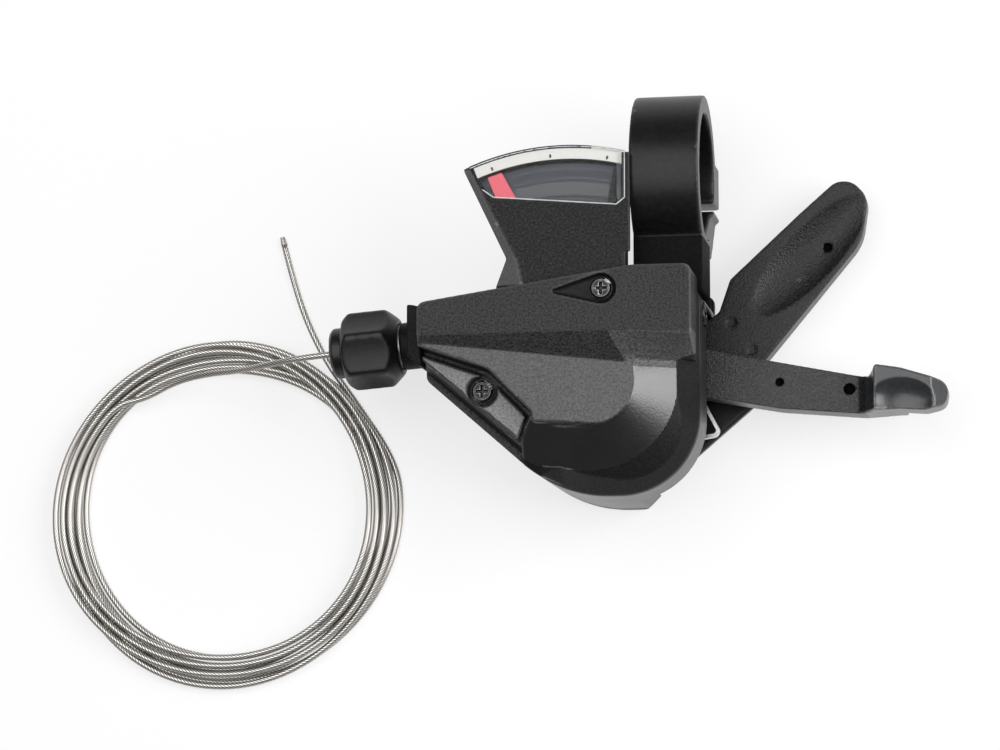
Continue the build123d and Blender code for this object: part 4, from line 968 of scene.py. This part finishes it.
strands = 7
lay_length = 0.0048
strand_depth = 0.00009
ring_corners = 2 * strands
cable_shape = bmesh.new()
groove = cable_shape.verts.layers.float.new("groove")
run = 0.0
along = (path[1] - path[0]).normalized()
sideways = along.orthogonal().normalized()
rings = []
for index, place in enumerate(path):
    before, after = path[max(index - 1, 0)], path[min(index + 1, len(path) - 1)]
    run += (place - before).length
    heading = (after - before).normalized()
    sideways = along.rotation_difference(heading) @ sideways
    sideways = (sideways - heading * sideways.dot(heading)).normalized()
    along = heading
    ring = []
    for spot in range(ring_corners):
        lean = 2.0 * pi * (spot / ring_corners + run / lay_length)
        reach = cable_d / 2 - (strand_depth if spot % 2 else 0.0)
        out = sideways * cos(lean) + heading.cross(sideways) * sin(lean)
        vertex = cable_shape.verts.new(place + reach * out)
        vertex[groove] = float(spot % 2)
        ring.append(vertex)
    rings.append(ring)
for ring, next_ring in zip(rings, rings[1:]):
    for spot in range(ring_corners):
        corner = (spot + 1) % ring_corners
        cable_shape.faces.new((ring[spot], ring[corner], next_ring[corner], next_ring[spot]))
cable_shape.faces.new(reversed(rings[0]))
cable_shape.faces.new(rings[-1])
cable = placed("shift_cable", cable_shape)
cable.data.shade_smooth()
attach(cable, "housing")
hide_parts("cable_lead", "cable_coil", "cable_tail")
bright_strand = (0.80, 0.78, 0.74)
# The grooves between the strands are painted darker: painted shade.
groove_shade = (0.13, 0.12, 0.11)
strand_until, groove_from = 0.30, 0.80
wire = finish(
    "stranded_steel",
    bright_strand,
    rough=0.36,
    grain=0.0006,
    depth=0.000008,
    speckle=0.15,
    metal=0.8,
)
lay_tree = wire.node_tree
lay_mark = lay_tree.nodes.new("ShaderNodeAttribute")
lay_mark.attribute_name = "groove"
lay_tone = lay_tree.nodes.new("ShaderNodeValToRGB")
lay_stops = lay_tone.color_ramp.elements
lay_stops[0].position = strand_until
lay_stops[0].color = (*bright_strand, 1.0)
lay_stops[1].position = groove_from
lay_stops[1].color = (*groove_shade, 1.0)
lay_tree.links.new(lay_mark.outputs["Fac"], lay_tone.inputs["Fac"])
lay_shader = lay_tree.nodes["Principled BSDF"]
lay_tree.links.new(lay_tone.outputs["Color"], lay_shader.inputs["Base Color"])
dress(cable, wire)
plain_wire = finish(
    "plain_wire",
    bright_strand,
    rough=0.34,
    grain=0.0006,
    depth=0.000008,
    speckle=0.15,
    metal=1.0,
)
dress(nodes["cable_run"], plain_wire)
welded_tip = finish(
    "welded_tip",
    (0.42, 0.40, 0.37),
    rough=0.45,
    grain=0.0004,
    depth=0.00001,
    speckle=0.3,
    metal=1.0,
)
dress(nodes["cable_tip"], welded_tip)

# Table: a wide sheet of matt white paper that the shifter lies on.
# Its rim is turned up into a low wall, so that low views see paper behind the shifter.
sheet_reach = 3.0
sheet_below = 0.00005
wall_height = 0.35
paper_white = (0.92, 0.92, 0.92, 1.0)
paper_glow = 0.7
sheet_shape = bmesh.new()
bmesh.ops.create_grid(
    sheet_shape,
    x_segments=1,
    y_segments=1,
    size=sheet_reach,
    matrix=Matrix.Translation((0.0, 0.0, floor_z - sheet_below)),
)
wall = bmesh.ops.extrude_edge_only(sheet_shape, edges=sheet_shape.edges[:])["geom"]
wall_top = [corner for corner in wall if isinstance(corner, bmesh.types.BMVert)]
bmesh.ops.translate(sheet_shape, vec=(0.0, 0.0, wall_height), verts=wall_top)
table = placed("white_sheet", sheet_shape)
paper = bpy.data.materials.new("white_paper")
paper.use_nodes = True
paper_tree = paper.node_tree
paper_tree.nodes.remove(paper_tree.nodes["Principled BSDF"])
matt = paper_tree.nodes.new("ShaderNodeBsdfDiffuse")
matt.inputs["Color"].default_value = paper_white
glow = paper_tree.nodes.new("ShaderNodeEmission")
rays = paper_tree.nodes.new("ShaderNodeLightPath")
seen_or_mirrored = paper_tree.nodes.new("ShaderNodeMath")
seen_or_mirrored.operation = "MAXIMUM"
paper_tree.links.new(rays.outputs["Is Camera Ray"], seen_or_mirrored.inputs[0])
paper_tree.links.new(rays.outputs["Is Glossy Ray"], seen_or_mirrored.inputs[1])
seen_at_all = paper_tree.nodes.new("ShaderNodeMath")
seen_at_all.operation = "MAXIMUM"
paper_tree.links.new(seen_or_mirrored.outputs["Value"], seen_at_all.inputs[0])
paper_tree.links.new(rays.outputs["Is Transmission Ray"], seen_at_all.inputs[1])
whiten = paper_tree.nodes.new("ShaderNodeMath")
whiten.operation = "MULTIPLY"
whiten.inputs[1].default_value = paper_glow
paper_tree.links.new(seen_at_all.outputs["Value"], whiten.inputs[0])
blend = paper_tree.nodes.new("ShaderNodeMixShader")
paper_tree.links.new(whiten.outputs["Value"], blend.inputs["Fac"])
paper_tree.links.new(matt.outputs["BSDF"], blend.inputs[1])
paper_tree.links.new(glow.outputs["Emission"], blend.inputs[2])
paper_out = paper_tree.nodes["Material Output"]
paper_tree.links.new(blend.outputs["Shader"], paper_out.inputs["Surface"])
dress(table, paper)

# Lights and camera: a soft lamp overhead, and a second, brighter one on the right.
# The right one picks out the cover's cone. The camera looks down from the photograph's angle.
aim = Vector((-0.02, -0.03, 0.0))
fill_colour = (1.0, 1.0, 1.0, 1.0)
fill_strength = 0.13
lens_mm = 122.7
sensor_mm = 36.0
camera_place = (0.072384, -0.116615, 0.585911)
camera_back = (0.172008, -0.137099, 0.975509)


def lamp(name, towards, away, width, height, watts):
    """A soft rectangular studio lamp that faces the object."""
    light = bpy.data.lights.new(name, "AREA")
    light.shape = "RECTANGLE"
    light.size = width
    light.size_y = height
    light.energy = watts
    holder = bpy.data.objects.new(name, light)
    direction = Vector(towards).normalized()
    holder.location = aim + away * direction
    holder.rotation_euler = (-direction).to_track_quat("-Z", "Y").to_euler()
    bpy.context.collection.objects.link(holder)


lamp("overhead_lamp", (-0.20, 0.10, 0.97), away=1.0, width=1.0, height=1.0, watts=7.6)
lamp("right_lamp", (0.79, 0.06, 0.58), away=1.0, width=0.70, height=0.70, watts=9.0)

world = bpy.data.worlds.new("studio")
world.use_nodes = True
fill = world.node_tree.nodes["Background"]
fill.inputs["Color"].default_value = fill_colour
fill.inputs["Strength"].default_value = fill_strength
bpy.context.scene.world = world

lens = bpy.data.cameras.new("camera")
lens.lens = lens_mm
lens.sensor_width = sensor_mm
camera = bpy.data.objects.new("camera", lens)
back = Vector(camera_back).normalized()
side = Vector((0.0, 1.0, 0.0)).cross(back).normalized()
upward = back.cross(side)
turned = Matrix((side, upward, back)).transposed().to_4x4()
camera.matrix_world = Matrix.Translation(camera_place) @ turned
bpy.context.collection.objects.link(camera)
bpy.context.scene.camera = camera
bpy.context.scene.view_settings.view_transform = "Standard"
